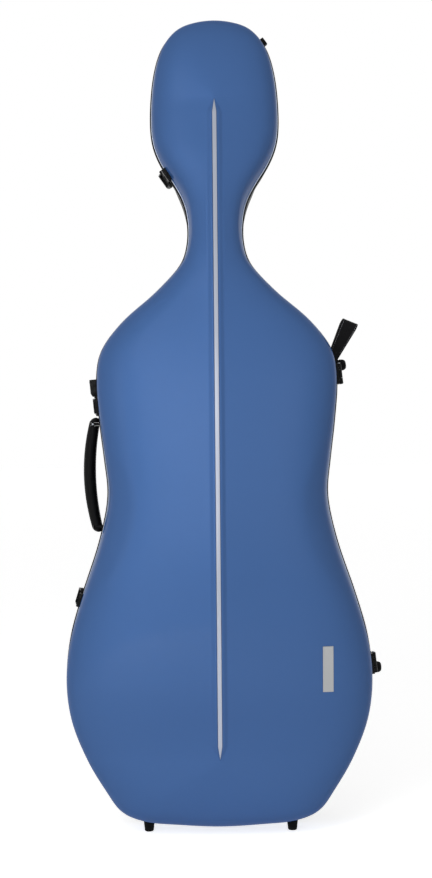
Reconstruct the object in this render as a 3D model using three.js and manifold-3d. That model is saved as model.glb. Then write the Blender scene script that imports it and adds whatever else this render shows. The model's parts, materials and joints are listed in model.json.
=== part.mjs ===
// Hard case for a full-size cello: a blue domed lid on a black base shell, hinged along its right side.
// Millimetres, +Z up, the lid faces -Y. It stands on four rubber feet, with its origin under its middle.
import * as THREE from 'three';
import { mergeVertices } from 'three/addons/utils/BufferGeometryUtils.js';
import Module from 'manifold-3d';

const wasm = await Module();
wasm.setup();

// Overall form
const shellHeight = 1320;
const shellLift = 9;
const boutHalfWidth = 250.5;
const lidDepth = 150;
const baseDepth = 132;

// Places of what the shells carry: shares of the shell's height, and of half its width
const heightShares = {
  poleTop: 0.8963, poleBottom: 0.0902, scoopLow: 0.2962, scoopHigh: 0.4643, plate: 0.2008,
  sideFootUpper: 0.5689, sideFootLower: 0.1849, hingeUpper: 0.5581, hingeLower: 0.1948,
  hingeUpperTouch: 0.5614, hingeLowerTouch: 0.1962, latchHead: 0.8099, latchMiddle: 0.5207,
  latchLower: 0.2773, strapLoop: 0.5735, bumper: 0.9757, ringUpper: 0.6038,
  ringLower: 0.2432, neckRest: 0.7166, upperPad: 0.5409, lowerPad: 0.1682, pocket: 0.1515,
  bowClip: 0.6265,
};
const widthShares = {
  plate: 0.6866, foot: 0.4671, ringUpper: 0.2475, ringLower: 0.3832, upperPad: 0.471,
  lowerPad: 0.5988, pocket: 0.4471, bowClip: 0.1836,
};
const heightAt = (share) => shellLift + share * shellHeight;
const widthAt = (share) => share * boutHalfWidth;
const lidPoleTop = heightAt(heightShares.poleTop);
const lidPoleBottom = heightAt(heightShares.poleBottom);

// Walls and clearances
const shellWall = 4;
const liningThickness = 14;
const liningGap = 0.4;
const seatGap = 0.3;
const runningGap = 0.4;
const cutOverrun = 6;
const facetLength = 52;

// Half outline at the seam from the top centre down to the bottom centre: width share, height share
const outlineShares = [
  [0, 1], [0.124, 0.9973], [0.2304, 0.9903], [0.3038, 0.9773], [0.3514, 0.9615], [0.3954, 0.9283],
  [0.4146, 0.8732], [0.399, 0.8459], [0.3458, 0.8213], [0.2628, 0.7968], [0.197, 0.772],
  [0.1717, 0.7384], [0.1816, 0.718], [0.2156, 0.6982], [0.391, 0.6611], [0.615, 0.624],
  [0.7585, 0.5869], [0.788, 0.5528], [0.77, 0.501], [0.7385, 0.4513], [0.7186, 0.4081],
  [0.7741, 0.3529], [0.902, 0.279], [0.974, 0.2293], [1, 0.1804], [0.9692, 0.1309],
  [0.868, 0.0816], [0.7522, 0.0447], [0.6522, 0.0188], [0.499, 0.0068], [0.28, 0.0026], [0, 0],
];

// Depth of each shell along its middle: height share, depth share
const lidCrownShares = [
  [0.0895, 0.79], [0.1829, 0.92], [0.3051, 1], [0.4174, 0.97], [0.5496, 0.89],
  [0.66, 0.76], [0.7504, 0.65], [0.8269, 0.56], [0.8966, 0.49],
];
const baseCrownShares = [
  [0.0895, 0.9], [0.2187, 0.97], [0.4174, 1], [0.6759, 0.98], [0.8249, 0.93], [0.8966, 0.86],
];

// Sections of the shells: height share, power of the rounded box. The lid's also has a slight roof.
const lidRoundnessShares = [[0.09, 5.2], [0.6, 5.2], [0.74, 4], [0.896, 4]];
const baseRoundnessShares = [[0.09, 4.2], [0.6, 4.2], [0.74, 6], [0.896, 6]];
const lidRoofShare = 0.14;
const outerRings = 6;
const innerRings = 4;

// Scoops pressed into the lid beside the waist
const scoopDepth = 3;
const scoopCreaseShare = 0.7;
const scoopTipPower = 0.5;

// Edge profiles
const lidRimProud = 1.4;
const baseRimProud = 3;
const rimHeight = 8;
const rebateInset = 1.4;
const rebateHeight = 5.8;
const tongueInset = 1.8;
const tongueThickness = 2;
const tongueHeight = 3.2;
const sealGap = 0.3;

// Centre ridge and its strip
const ridgeHalfWidth = 14;
const ridgeHeight = 3.4;
const ridgeShoulderShares = [0.62, 0.66];
const ridgeLip = 0.8;
const grooveFloor = 1.4;
const stripHalfWidth = 3.6;
const stripProud = 0.6;
const stripTaper = 24;

// Name plate, left bare
const plateWidth = 17;
const plateHeight = 73;
const plateThickness = 1.2;
const plateColumns = 3;
const plateRows = 4;

// Feet
const footTopRadius = 8.75;
const footBottomRadius = 7.25;
const footChamfer = 1.2;
const lidFootDepth = 42;
const baseFootDepth = 58;
const footReach = 48;
const sideFootRadius = 10;
const sideFootTipRadius = 7.6;
const sideFootHeight = 22;
const sideFootDepth = 35;

// Hinges
const hingeOffset = 7.4;
const hingeLength = 34;
const knuckleRadius = 4;
const knuckleBore = 1.7;
const hingePinRadius = 1.4;
const hingePinHead = 2.4;
const hingePinHeadHeight = 1.2;
const middleKnuckle = 13;
const leafThickness = 2;
const leafDepth = 18;

// Draw latches
const latchWidth = 32;
const latchPlateTop = 2;
const latchPlateStart = 11;
const latchPlateEnd = 44;
const earThickness = 2.2;
const earLength = 9;
const earHeight = 8.2;
const pivotOut = 5.2;
const pivotDepth = 18;
const hookPivotReach = 7.5;
const rivetRadius = 1.5;
const rivetBore = 1.85;
const leverNose = 2.9;
const leverFlange = 2.3;
const leverBottom = 2.6;
const leverTop = 12.4;
const leverRoofStart = 31.5;
const leverRoofEnd = 37;
const leverRoof = 1.9;
const leverEnd = 46.5;
const leverChamfer = 3;
const hookThickness = 1.8;
const hookEyeRadius = 2.3;
const hookNoseLength = 2.2;
const hookReach = 18.5;
const lipThickness = 2.6;
const lipHeight = 3.9;
const keeperTop = 1.7;
const keeperLength = 12;
const keeperHalfWidth = 11;

// Combination lock above the middle latch
const lockHeight = 28;
const lockProud = 13;
const lockStart = 10;
const lockEnd = 40;
const lockChamfer = 5;
const wheelRadius = 6;
const wheelThickness = 5;
const wheelPitch = 6.4;
const wheelCount = 3;
const wheelProud = 1.1;
const wheelBore = 1.9;
const wheelShaft = 1.5;
const wheelDepth = 25;

// Handle
const handlePinSpan = 172;
const handleClear = 5;
const handleDepth = 28;
const handlePinOut = 16;
const gripRise = 10;
const gripEndOverhang = 9;
const gripThickness = 17.5;
const gripWidth = 23;
const gripEndRadius = 8;
const gripSteps = 12;
const gripFaces = 8;
const gripSwellPower = 2;
const gripTipPower = 16;
const gripTipShare = 0.4;
const lugThickness = 5;
const lugNose = 4.2;
const bracketHalfWidth = 12;
const bracketHalfHeight = 14;
const bracketThickness = 1.6;
const handlePinRadius = 2;
const handlePinReach = 6;

// Strap loop at the right shoulder
const loopSink = 3.8;
const loopDepth = 22;
const loopAngle = 63;
const loopLength = 71;
const loopWidth = 26;
const loopThickness = 2.8;
const loopEye = 11;
const loopNeckShare = 0.6;
const loopTaperShare = 0.85;
const loopJoinShare = 0.3;

// Head bumper
const bumperLength = 12.4;
const bumperProud = 11;
const bumperDepth = 14;
const bumperChamfer = 2.5;

// Rings on the back
const ringWire = 1.9;
const ringHalfWidth = 15;
const ringDrop = 22;
const ringStandOff = 5.2;
const anchorHalfWidth = 10.5;
const anchorHeight = 15;
const anchorThickness = 1.8;
const anchorBarrel = 3.9;
const anchorBore = 2.3;

// Inside fittings
const neckRestLength = 60;
const neckRestFront = 26;
const neckRestCradle = 21;
const neckRestCradleY = 19;
const strapWidth = 30;
const strapThickness = 2;
const strapRise = 28;
const strapSeatY = 22;
const endpinHalfWidth = 46;
const endpinTop = 66;
const endpinFront = 26;
const endpinWell = 15;
const endpinWellY = 66;
const endpinWellFloor = 42;
const upperPadLength = 66;
const lowerPadLength = 70;
const padThickness = 13;
const pocketLength = 74;
const pocketDepth = 24;
const pocketWall = 2.4;
const clipBaseRadius = 11;
const clipBaseHeight = 11;
const clipStud = 2.6;
const clipBarHalfLength = 18;
const clipBarHalfWidth = 4.5;
const clipBarThickness = 4;
const clipHeadRadius = 4.2;
const clipHeadHeight = 1.6;

// Round pieces
const roundFaces = 10;
const footFaces = 12;
const wireFaces = 6;

const finish = (color, roughness, metalness) =>
  new THREE.MeshStandardMaterial({ color, roughness, metalness });
const finishes = {
  blueGloss: finish(0x46659c, 0.12, 0),
  blackShell: finish(0x131416, 0.35, 0),
  aluminium: finish(0xaab2bf, 0.35, 0.9),
  silverStrip: finish(0xaab4c6, 0.3, 0.8),
  plate: finish(0xafafac, 0.4, 0.8),
  rubber: finish(0x161616, 0.85, 0),
  blackMetal: finish(0x1b1b1d, 0.4, 0.6),
  steel: finish(0x9a9ea4, 0.3, 0.9),
  leather: finish(0x17171a, 0.6, 0),
  plush: finish(0x2a2c33, 0.95, 0),
  webbing: finish(0x1d1e22, 0.9, 0),
  moulded: finish(0x1a1a1c, 0.5, 0),
};

// Solids

function solidOf(geometry) {
  const bare = new THREE.BufferGeometry();
  bare.setAttribute('position', geometry.getAttribute('position').clone());
  if (geometry.index) bare.setIndex(geometry.index.clone());
  const merged = mergeVertices(bare, 1e-3);
  const at = merged.getAttribute('position').array;
  const source = merged.index.array;
  const faces = [];
  for (let f = 0; f < source.length; f += 3) {
    const [a, b, c] = source.slice(f, f + 3);
    if (a !== b && b !== c && c !== a) faces.push([a, b, c]);
  }
  const corner = (i) => new THREE.Vector3().fromArray(at, 3 * i);
  const volume = faces.reduce(
    (sum, [a, b, c]) => sum + corner(a).dot(corner(b).cross(corner(c))), 0);
  const turned = volume < 0 ? faces.map(([a, b, c]) => [a, c, b]) : faces;
  const mesh = new wasm.Mesh({
    numProp: 3, vertProperties: Float32Array.from(at), triVerts: Uint32Array.from(turned.flat()),
  });
  return new wasm.Manifold(mesh);
}

function geometryOf(solid) {
  const mesh = solid.getMesh();
  const geometry = new THREE.BufferGeometry();
  geometry.setAttribute('position', new THREE.BufferAttribute(mesh.vertProperties, 3));
  geometry.setIndex(new THREE.BufferAttribute(mesh.triVerts, 1));
  geometry.computeVertexNormals();
  return geometry;
}

const joined = (first, ...rest) => rest.reduce((all, next) => all.add(next), first);
const cutFrom = (solid, ...tools) => tools.reduce((left, tool) => left.subtract(tool), solid);

// Joins loops of points into one skin. Ends are closed by strips that pair each point with its mirror
// image across the case, or by a fan; a ring profile joins its last loop to its first. From the loop
// where a skin turns inside, its faces are split along the other diagonal, so that nested skins match.
function loft(loops, ends, turn = loops.length) {
  const count = loops[0].length;
  const points = loops.flat();
  const faces = [];
  const quad = (a, b, c, d) => faces.push(a, b, c, a, c, d);
  const bands = ends === 'ring' ? loops.length : loops.length - 1;
  for (let k = 0; k < bands; k++) {
    const here = k * count;
    const next = ((k + 1) % loops.length) * count;
    for (let j = 0; j < count; j++) {
      const side = (j + 1) % count;
      if (k < turn) quad(here + j, here + side, next + side, next + j);
      else quad(here + side, next + side, next + j, here + j);
    }
  }
  const close = (start, flip) => {
    for (let j = 0; j < count / 2; j++) {
      const a = start + j;
      const b = start + j + 1;
      const c = start + ((count - j - 1) % count);
      const d = start + ((count - j) % count);
      if (flip) quad(a, b, c, d);
      else quad(d, c, b, a);
    }
  };
  const fan = (start, flip) => {
    for (let j = 1; j < count - 1; j++) {
      const [b, c] = flip ? [j, j + 1] : [j + 1, j];
      faces.push(start, start + b, start + c);
    }
  };
  const cap = ends === 'fan' ? fan : close;
  if (ends !== 'ring') {
    cap(0, false);
    cap((loops.length - 1) * count, true);
  }
  const geometry = new THREE.BufferGeometry().setFromPoints(points);
  geometry.setIndex(faces);
  return solidOf(geometry);
}

// Places, measured outward from the wall, back from the seam and up along the wall
function placeAt(origin, out, up) {
  const depth = new THREE.Vector3(0, 1, 0);
  return new THREE.Matrix4().makeBasis(out, depth, up).setPosition(origin);
}

const placed = (geometry, place) => solidOf(geometry.applyMatrix4(place));

function block(place, [outLow, outHigh], [depthLow, depthHigh], [upLow, upHigh]) {
  const box = new THREE.BoxGeometry(outHigh - outLow, depthHigh - depthLow, upHigh - upLow);
  box.translate((outLow + outHigh) / 2, (depthLow + depthHigh) / 2, (upLow + upHigh) / 2);
  return placed(box, place);
}

// A cylinder with its axis up the wall ('up'), out of it ('out') or back from the seam ('depth')
function rod(place, direction, radius, low, high, centre, faces = roundFaces) {
  const cylinder = new THREE.CylinderGeometry(radius, radius, high - low, faces);
  cylinder.translate(0, (low + high) / 2, 0);
  if (direction === 'up') cylinder.rotateX(Math.PI / 2);
  if (direction === 'out') cylinder.rotateZ(-Math.PI / 2);
  cylinder.translate(...centre);
  return placed(cylinder, place);
}

// An outline drawn in depth and out, drawn out along the wall between two heights
function profileAlong(place, outline, low, high) {
  const shape = new THREE.Shape(outline.map(([depth, out]) => new THREE.Vector2(depth, out)));
  const body = new THREE.ExtrudeGeometry(shape, { depth: high - low, bevelEnabled: false });
  const swap = new THREE.Matrix4().makeBasis(
    new THREE.Vector3(0, 1, 0), new THREE.Vector3(1, 0, 0), new THREE.Vector3(0, 0, 1));
  body.translate(0, 0, low).applyMatrix4(swap);
  return placed(body, place);
}

// An outline drawn in out and up, drawn back from the seam between two depths
function profileBack(place, outline, low, high) {
  const shape = new THREE.Shape(outline.map(([out, up]) => new THREE.Vector2(out, up)));
  const body = new THREE.ExtrudeGeometry(shape, { depth: high - low, bevelEnabled: false });
  const swap = new THREE.Matrix4().makeBasis(
    new THREE.Vector3(1, 0, 0), new THREE.Vector3(0, 0, 1), new THREE.Vector3(0, 1, 0));
  body.translate(0, 0, low).applyMatrix4(swap);
  return placed(body, place);
}

function turned(place, profile, faces = footFaces) {
  const lathe = new THREE.LatheGeometry(profile.map(([r, h]) => new THREE.Vector2(r, h)), faces);
  return placed(lathe, place);
}

// Outline of the case at the seam

const outlinePoints = outlineShares.map(([width, height]) =>
  new THREE.Vector3(width * boutHalfWidth, 0, shellLift + height * shellHeight));
const mirrored = outlinePoints.slice(1, -1).reverse().map((p) => new THREE.Vector3(-p.x, 0, p.z));
const outlineCurve = new THREE.CatmullRomCurve3([...outlinePoints, ...mirrored], true, 'centripetal');
const spanShare = 1 / (outlinePoints.length + mirrored.length);

function edgeAt(share) {
  const point = outlineCurve.getPoint(share);
  const along = outlineCurve.getTangent(share);
  return { point, normal: new THREE.Vector3(-along.z, 0, along.x) };
}

function halfColumns() {
  const columns = [];
  for (let i = 0; i + 1 < outlinePoints.length; i++) {
    const span = outlinePoints[i].distanceTo(outlinePoints[i + 1]);
    const steps = Math.max(1, Math.round(span / facetLength));
    for (let k = 0; k < steps; k++) columns.push(edgeAt((i + k / steps) * spanShare));
  }
  columns.push(edgeAt(0.5));
  columns[0].point.x = 0;
  columns.at(-1).point.x = 0;
  return columns;
}

const rightColumns = halfColumns();
const leftColumns = rightColumns.slice(1, -1).reverse().map(({ point, normal }) => ({
  point: new THREE.Vector3(-point.x, 0, point.z),
  normal: new THREE.Vector3(-normal.x, 0, normal.z),
}));
const columns = [...rightColumns, ...leftColumns];

// The right-hand edge at a height, found by halving because the outline only falls from top to bottom
function rightEdge(height) {
  let [above, below] = [0, 0.5];
  for (let i = 0; i < 40; i++) {
    const middle = (above + below) / 2;
    if (outlineCurve.getPoint(middle).z > height) above = middle;
    else below = middle;
  }
  return edgeAt(above);
}

function wallPlace(height, side) {
  const { point, normal } = rightEdge(height);
  const out = new THREE.Vector3(side * normal.x, 0, normal.z);
  const up = new THREE.Vector3(-side * normal.z, 0, normal.x);
  return placeAt(new THREE.Vector3(side * point.x, 0, point.z), out, up);
}

// Smooth curve through stations of shares, level at both ends
function shareAt(stations, share) {
  const last = stations.length - 1;
  if (share <= stations[0][0]) return stations[0][1];
  if (share >= stations[last][0]) return stations[last][1];
  const slope = (i) => (i === 0 || i === last ? 0
    : (stations[i + 1][1] - stations[i - 1][1]) / (stations[i + 1][0] - stations[i - 1][0]));
  const i = stations.findIndex((station, k) => k > 0 && station[0] >= share) - 1;
  const [[x0, y0], [x1, y1]] = [stations[i], stations[i + 1]];
  const width = x1 - x0;
  const t = (share - x0) / width;
  const rise = 3 * t * t - 2 * t * t * t;
  return y0 + (y1 - y0) * rise + width * (slope(i) * t * (1 - t) ** 2 - slope(i + 1) * t * t * (1 - t));
}

// Shell surfaces

const shellStart = rimHeight + seatGap;
const liningStart = shellStart + liningGap;
const lid = {
  side: -1, depth: lidDepth, crownShares: lidCrownShares, roundnessShares: lidRoundnessShares,
  roofShare: lidRoofShare, rimProud: lidRimProud, scooped: true,
};
const base = {
  side: 1, depth: baseDepth, crownShares: baseCrownShares, roundnessShares: baseRoundnessShares,
  roofShare: 0, rimProud: baseRimProud, scooped: false,
};
const clamp = THREE.MathUtils.clamp;
const spineHeight = (z) => clamp(z, lidPoleBottom, lidPoleTop);
const crownDepth = (half, height) =>
  half.depth * shareAt(half.crownShares, (height - shellLift) / shellHeight);
const roundnessAt = (half, height) =>
  shareAt(half.roundnessShares, (height - shellLift) / shellHeight);
const sectionRise = (half, across, power) =>
  (1 - half.roofShare) * (1 - across ** power) ** (1 / power) + half.roofShare * (1 - across);
const taper = (height) =>
  clamp(Math.min(height - lidPoleBottom, lidPoleTop - height) / stripTaper, 0, 1);

function scoopPush(across, height) {
  const low = heightAt(heightShares.scoopLow);
  const high = heightAt(heightShares.scoopHigh);
  const along = (2 * height - low - high) / (high - low);
  if (Math.abs(along) >= 1) return 0;
  const leaf = 1 - along * along;
  const crease = 1 - (1 - scoopCreaseShare) * leaf ** scoopTipPower;
  const reach = (across - crease) / (1 - crease);
  return reach > 0 ? 4 * scoopDepth * leaf * reach * (1 - reach) : 0;
}

// A point of a skin that lies inset from the outer surface; turn runs along the section, from its edge
function skinPoint(half, column, inset, start, turn, seat = 0) {
  const height = spineHeight(column.point.z);
  const power = roundnessAt(half, height);
  const across = turn === 1 ? 0 : Math.cos((Math.PI / 2) * turn) ** (2 / power);
  const edge = column.point.clone().addScaledVector(column.normal, -inset);
  if (column.point.x === 0) edge.x = 0;
  const inner = Math.sign(column.point.x) * seat * taper(height);
  const push = half.scooped ? scoopPush(across, height) * Math.SQRT1_2 : 0;
  const x = inner + (edge.x - inner) * across;
  const level = start + (crownDepth(half, height) - inset - start) * sectionRise(half, across, power);
  return new THREE.Vector3(
    x - Math.sign(x) * push, half.side * (level - push), height + (edge.z - height) * across);
}

function skinLoops(half, inset, start, rings, seat = 0) {
  return Array.from({ length: rings + 1 }, (_, k) =>
    columns.map((column) => skinPoint(half, column, inset, start, k / rings, seat)));
}

// The ridge over the lid's middle, from its foot to the floor of the strip's groove
function ridgeLoops() {
  const groove = stripHalfWidth + seatGap;
  const steps = [
    [ridgeHalfWidth * ridgeShoulderShares[0], ridgeHeight * ridgeShoulderShares[1]],
    [groove + ridgeLip, ridgeHeight], [groove, ridgeHeight], [groove, grooveFloor],
  ];
  return steps.map(([half, lift]) => columns.map(({ point }) => {
    const height = spineHeight(point.z);
    const share = taper(height);
    const y = -(crownDepth(lid, height) + lift * share);
    return new THREE.Vector3(Math.sign(point.x) * half * share, y, height);
  }));
}

function bowl(half, outerInset, thickness, start, outer, seat = 0) {
  const outside = skinLoops(half, outerInset, start, outer, seat);
  const ridge = seat > 0 ? ridgeLoops() : [];
  const inside = skinLoops(half, outerInset + thickness, start, innerRings);
  const loops = [...ridge.reverse(), ...outside.reverse(), ...inside];
  return loft(loops, 'mirror', loops.length - inside.length);
}

function edgeLoop(half, inset, level) {
  return columns.map(({ point, normal }) => {
    const edge = point.clone().addScaledVector(normal, -inset);
    return new THREE.Vector3(point.x === 0 ? 0 : edge.x, half.side * level, edge.z);
  });
}

const edgeRing = (half, profile) =>
  loft(profile.map(([inset, level]) => edgeLoop(half, inset, level)), 'ring');

// All the space that one half of the case fills, grown by a gap, which outer fittings are cut to
function halfVolume(half, gap) {
  const seat = half === lid ? ridgeHalfWidth : 0;
  const skin = skinLoops(half, -gap, shellStart, outerRings, seat);
  const ridge = half === lid ? ridgeLoops() : [];
  const body = loft([...ridge.reverse(), ...skin.reverse(), edgeLoop(half, -gap, 0)], 'mirror');
  const edge = [0, rimHeight + gap].map((level) => edgeLoop(half, -half.rimProud - gap, level));
  return body.add(loft(edge, 'mirror'));
}

// The room inside one lining, shrunk by a gap, which inner fittings are cut to
function roomVolume(half, gap) {
  const inset = shellWall + liningGap + liningThickness + gap;
  const skin = skinLoops(half, inset, liningStart, innerRings);
  return loft([...skin.reverse(), edgeLoop(half, inset, 0)], 'mirror');
}

const lidOutside = halfVolume(lid, seatGap);
const baseOutside = halfVolume(base, seatGap);
const lidRoom = roomVolume(lid, seatGap);
const baseRoom = roomVolume(base, seatGap);
const caseFrame = placeAt(new THREE.Vector3(), new THREE.Vector3(1, 0, 0), new THREE.Vector3(0, 0, 1));

// The scene graph

const cello = new THREE.Group();
const baseGroup = new THREE.Group();
const lidGroup = new THREE.Group();
cello.add(baseGroup, lidGroup);

function add(group, name, solid, material) {
  const mesh = new THREE.Mesh(geometryOf(solid), material);
  mesh.name = name;
  group.add(mesh);
  return mesh;
}

function addShells() {
  const lidShell = bowl(lid, 0, shellWall, shellStart, outerRings, ridgeHalfWidth);
  add(baseGroup, 'base_shell', bowl(base, 0, shellWall, shellStart, outerRings), finishes.blackShell);
  add(lidGroup, 'lid_shell', lidShell, finishes.blueGloss);
  const lined = shellWall + liningGap;
  const baseLining = bowl(base, lined, liningThickness, liningStart, innerRings);
  const lidLining = bowl(lid, lined, liningThickness, liningStart, innerRings);
  add(baseGroup, 'base_lining', baseLining, finishes.plush);
  add(lidGroup, 'lid_lining', lidLining, finishes.plush);
}

function addRims() {
  const tongueInner = tongueInset + tongueThickness;
  const baseProfile = [
    [-baseRimProud, 0], [tongueInset, 0], [tongueInset, -tongueHeight],
    [tongueInner, -tongueHeight], [shellWall, rimHeight], [-baseRimProud, rimHeight],
  ];
  const lidProfile = [
    [-lidRimProud, seatGap], [-lidRimProud, rimHeight], [shellWall, rimHeight],
    [shellWall, rebateHeight], [rebateInset, rebateHeight], [rebateInset, seatGap],
  ];
  const sealOuter = rebateInset + sealGap;
  const sealBottom = tongueHeight + sealGap;
  const sealTop = rebateHeight - sealGap;
  const sealProfile = [
    [sealOuter, sealBottom], [tongueInner, sealBottom], [tongueInner, sealTop], [sealOuter, sealTop],
  ];
  add(baseGroup, 'base_rim', edgeRing(base, baseProfile), finishes.blackMetal);
  add(lidGroup, 'lid_rim', edgeRing(lid, lidProfile), finishes.aluminium);
  add(lidGroup, 'rim_seal', edgeRing(lid, sealProfile), finishes.rubber);
}

function addStrip() {
  const heights = rightColumns.map(({ point }) => spineHeight(point.z));
  const rows = [...new Set(heights)];
  const inTip = seatGap / stripHalfWidth;
  const sections = rows.map((height) => {
    const share = Math.max(taper(height) - inTip, 0);
    const half = stripHalfWidth * share;
    const crown = crownDepth(lid, height);
    const floor = crown + grooveFloor * taper(height) + seatGap;
    const top = share > 0 ? Math.max(crown + ridgeHeight * taper(height) + stripProud, floor) : floor;
    const shoulder = share > 0 ? top - stripProud / 2 : floor;
    return [
      [-half, floor], [half, floor], [half, shoulder], [0, top], [-half, shoulder],
    ].map(([x, level]) => new THREE.Vector3(x, -level, height));
  });
  add(lidGroup, 'centre_strip', loft(sections, 'fan'), finishes.silverStrip);
}

// A point of the lid's outer surface at a height between the poles
function lidSurface(x, z, lift) {
  const { point } = rightEdge(z);
  const seat = ridgeHalfWidth * taper(z);
  const across = (Math.abs(x) - seat) / (point.x - seat);
  const rise = sectionRise(lid, across, roundnessAt(lid, z));
  const level = shellStart + (crownDepth(lid, z) - shellStart) * rise;
  return new THREE.Vector3(x, -level - lift, z);
}

function addNamePlate() {
  const centreX = widthAt(widthShares.plate);
  const centreZ = heightAt(heightShares.plate);
  const sections = [];
  for (let row = 0; row <= plateRows; row++) {
    const z = centreZ + plateHeight * (row / plateRows - 1 / 2);
    const across = Array.from({ length: plateColumns + 1 }, (_, k) =>
      centreX + plateWidth * (k / plateColumns - 1 / 2));
    const upper = across.map((x) => lidSurface(x, z, plateThickness + seatGap));
    const lower = across.map((x) => lidSurface(x, z, -cutOverrun / 2)).reverse();
    sections.push([...upper, ...lower]);
  }
  add(lidGroup, 'name_plate', cutFrom(loft(sections, 'fan'), lidOutside), finishes.plate);
}

function addFeet() {
  const profile = [
    [0, 0], [footBottomRadius - footChamfer, 0], [footBottomRadius, footChamfer],
    [footTopRadius, footReach], [0, footReach],
  ];
  const kinds = [
    ['lid', lidGroup, lidOutside, -lidFootDepth], ['base', baseGroup, baseOutside, baseFootDepth],
  ];
  for (const [half, group, outside, y] of kinds) {
    for (const [side, sign] of [['left', -1], ['right', 1]]) {
      const spot = new THREE.Vector3(sign * widthAt(widthShares.foot), y, 0);
      const stand = new THREE.Matrix4().makeRotationX(Math.PI / 2).setPosition(spot);
      const foot = cutFrom(turned(stand, profile), outside);
      add(group, `foot_${half}_${side}`, foot, finishes.rubber);
    }
  }
}

function addSideFeet() {
  const profile = [
    [0, -cutOverrun], [sideFootRadius, -cutOverrun], [sideFootRadius, 0],
    [sideFootTipRadius, sideFootHeight - footChamfer],
    [sideFootTipRadius - footChamfer, sideFootHeight], [0, sideFootHeight],
  ];
  const lean = new THREE.Matrix4().makeRotationZ(-Math.PI / 2).setPosition(0, sideFootDepth, 0);
  const shares = { upper: heightShares.sideFootUpper, lower: heightShares.sideFootLower };
  for (const [name, share] of Object.entries(shares)) {
    const place = wallPlace(heightAt(share), 1).multiply(lean);
    add(baseGroup, `side_foot_${name}`, cutFrom(turned(place, profile), baseOutside), finishes.rubber);
  }
}

// The hinge axis runs just outside the line that touches the upper and the lower bout
const hingeLine = (() => {
  const top = rightEdge(heightAt(heightShares.hingeUpperTouch)).point;
  const bottom = rightEdge(heightAt(heightShares.hingeLowerTouch)).point;
  const up = top.clone().sub(bottom).normalize();
  const out = new THREE.Vector3(up.z, 0, -up.x);
  return { bottom: bottom.clone().addScaledVector(out, hingeOffset), up, out };
})();

function hingePlace(height) {
  const { bottom, up, out } = hingeLine;
  const along = (height - bottom.z) / up.z;
  return placeAt(bottom.clone().addScaledVector(up, along), out, up);
}

function addHinge(name, height) {
  const place = hingePlace(height);
  const half = hingeLength / 2;
  const middle = middleKnuckle / 2;
  const centre = [0, 0, 0];
  const leafInner = -hingeOffset - cutOverrun;
  const leafOuter = -knuckleRadius + leafThickness - runningGap;
  const bore = rod(place, 'up', knuckleBore, -half - cutOverrun, half + cutOverrun, centre);
  const sweep = knuckleRadius + runningGap;
  const outer = [[middle + runningGap, half], [-half, -middle - runningGap]];
  const clearOuter = joined(...outer.map(([low, high]) =>
    rod(place, 'up', sweep, low - runningGap, high + runningGap, centre)));
  const clearMiddle = rod(place, 'up', sweep, -middle - runningGap, middle + runningGap, centre);
  const leaf = (sign) => block(
    place, [leafInner, leafOuter], sign > 0 ? [runningGap, leafDepth] : [-leafDepth, -runningGap],
    [-half, half]);
  const baseKnuckles = outer.map(([low, high]) => rod(place, 'up', knuckleRadius, low, high, centre));
  const lidKnuckle = rod(place, 'up', knuckleRadius, -middle, middle, centre);
  const baseLeaf = cutFrom(leaf(1), clearMiddle, baseOutside, lidOutside);
  const lidLeaf = cutFrom(leaf(-1), clearOuter, lidOutside, baseOutside);
  add(baseGroup, `hinge_${name}_base_leaf`,
    cutFrom(joined(baseLeaf, ...baseKnuckles), bore), finishes.blackMetal);
  add(lidGroup, `hinge_${name}_lid_leaf`, cutFrom(joined(lidLeaf, lidKnuckle), bore), finishes.blackMetal);
  const top = half + seatGap;
  const pin = joined(
    rod(place, 'up', hingePinRadius, -half, top + hingePinHeadHeight / 2, centre),
    rod(place, 'up', hingePinHead, top, top + hingePinHeadHeight, centre));
  add(baseGroup, `hinge_${name}_pin`, pin, finishes.steel);
}

function arcPoints(centreDepth, centreOut, radius, from, to, steps) {
  return Array.from({ length: steps + 1 }, (_, k) => {
    const angle = THREE.MathUtils.degToRad(from + ((to - from) * k) / steps);
    return [centreDepth + radius * Math.cos(angle), centreOut + radius * Math.sin(angle)];
  });
}

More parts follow.
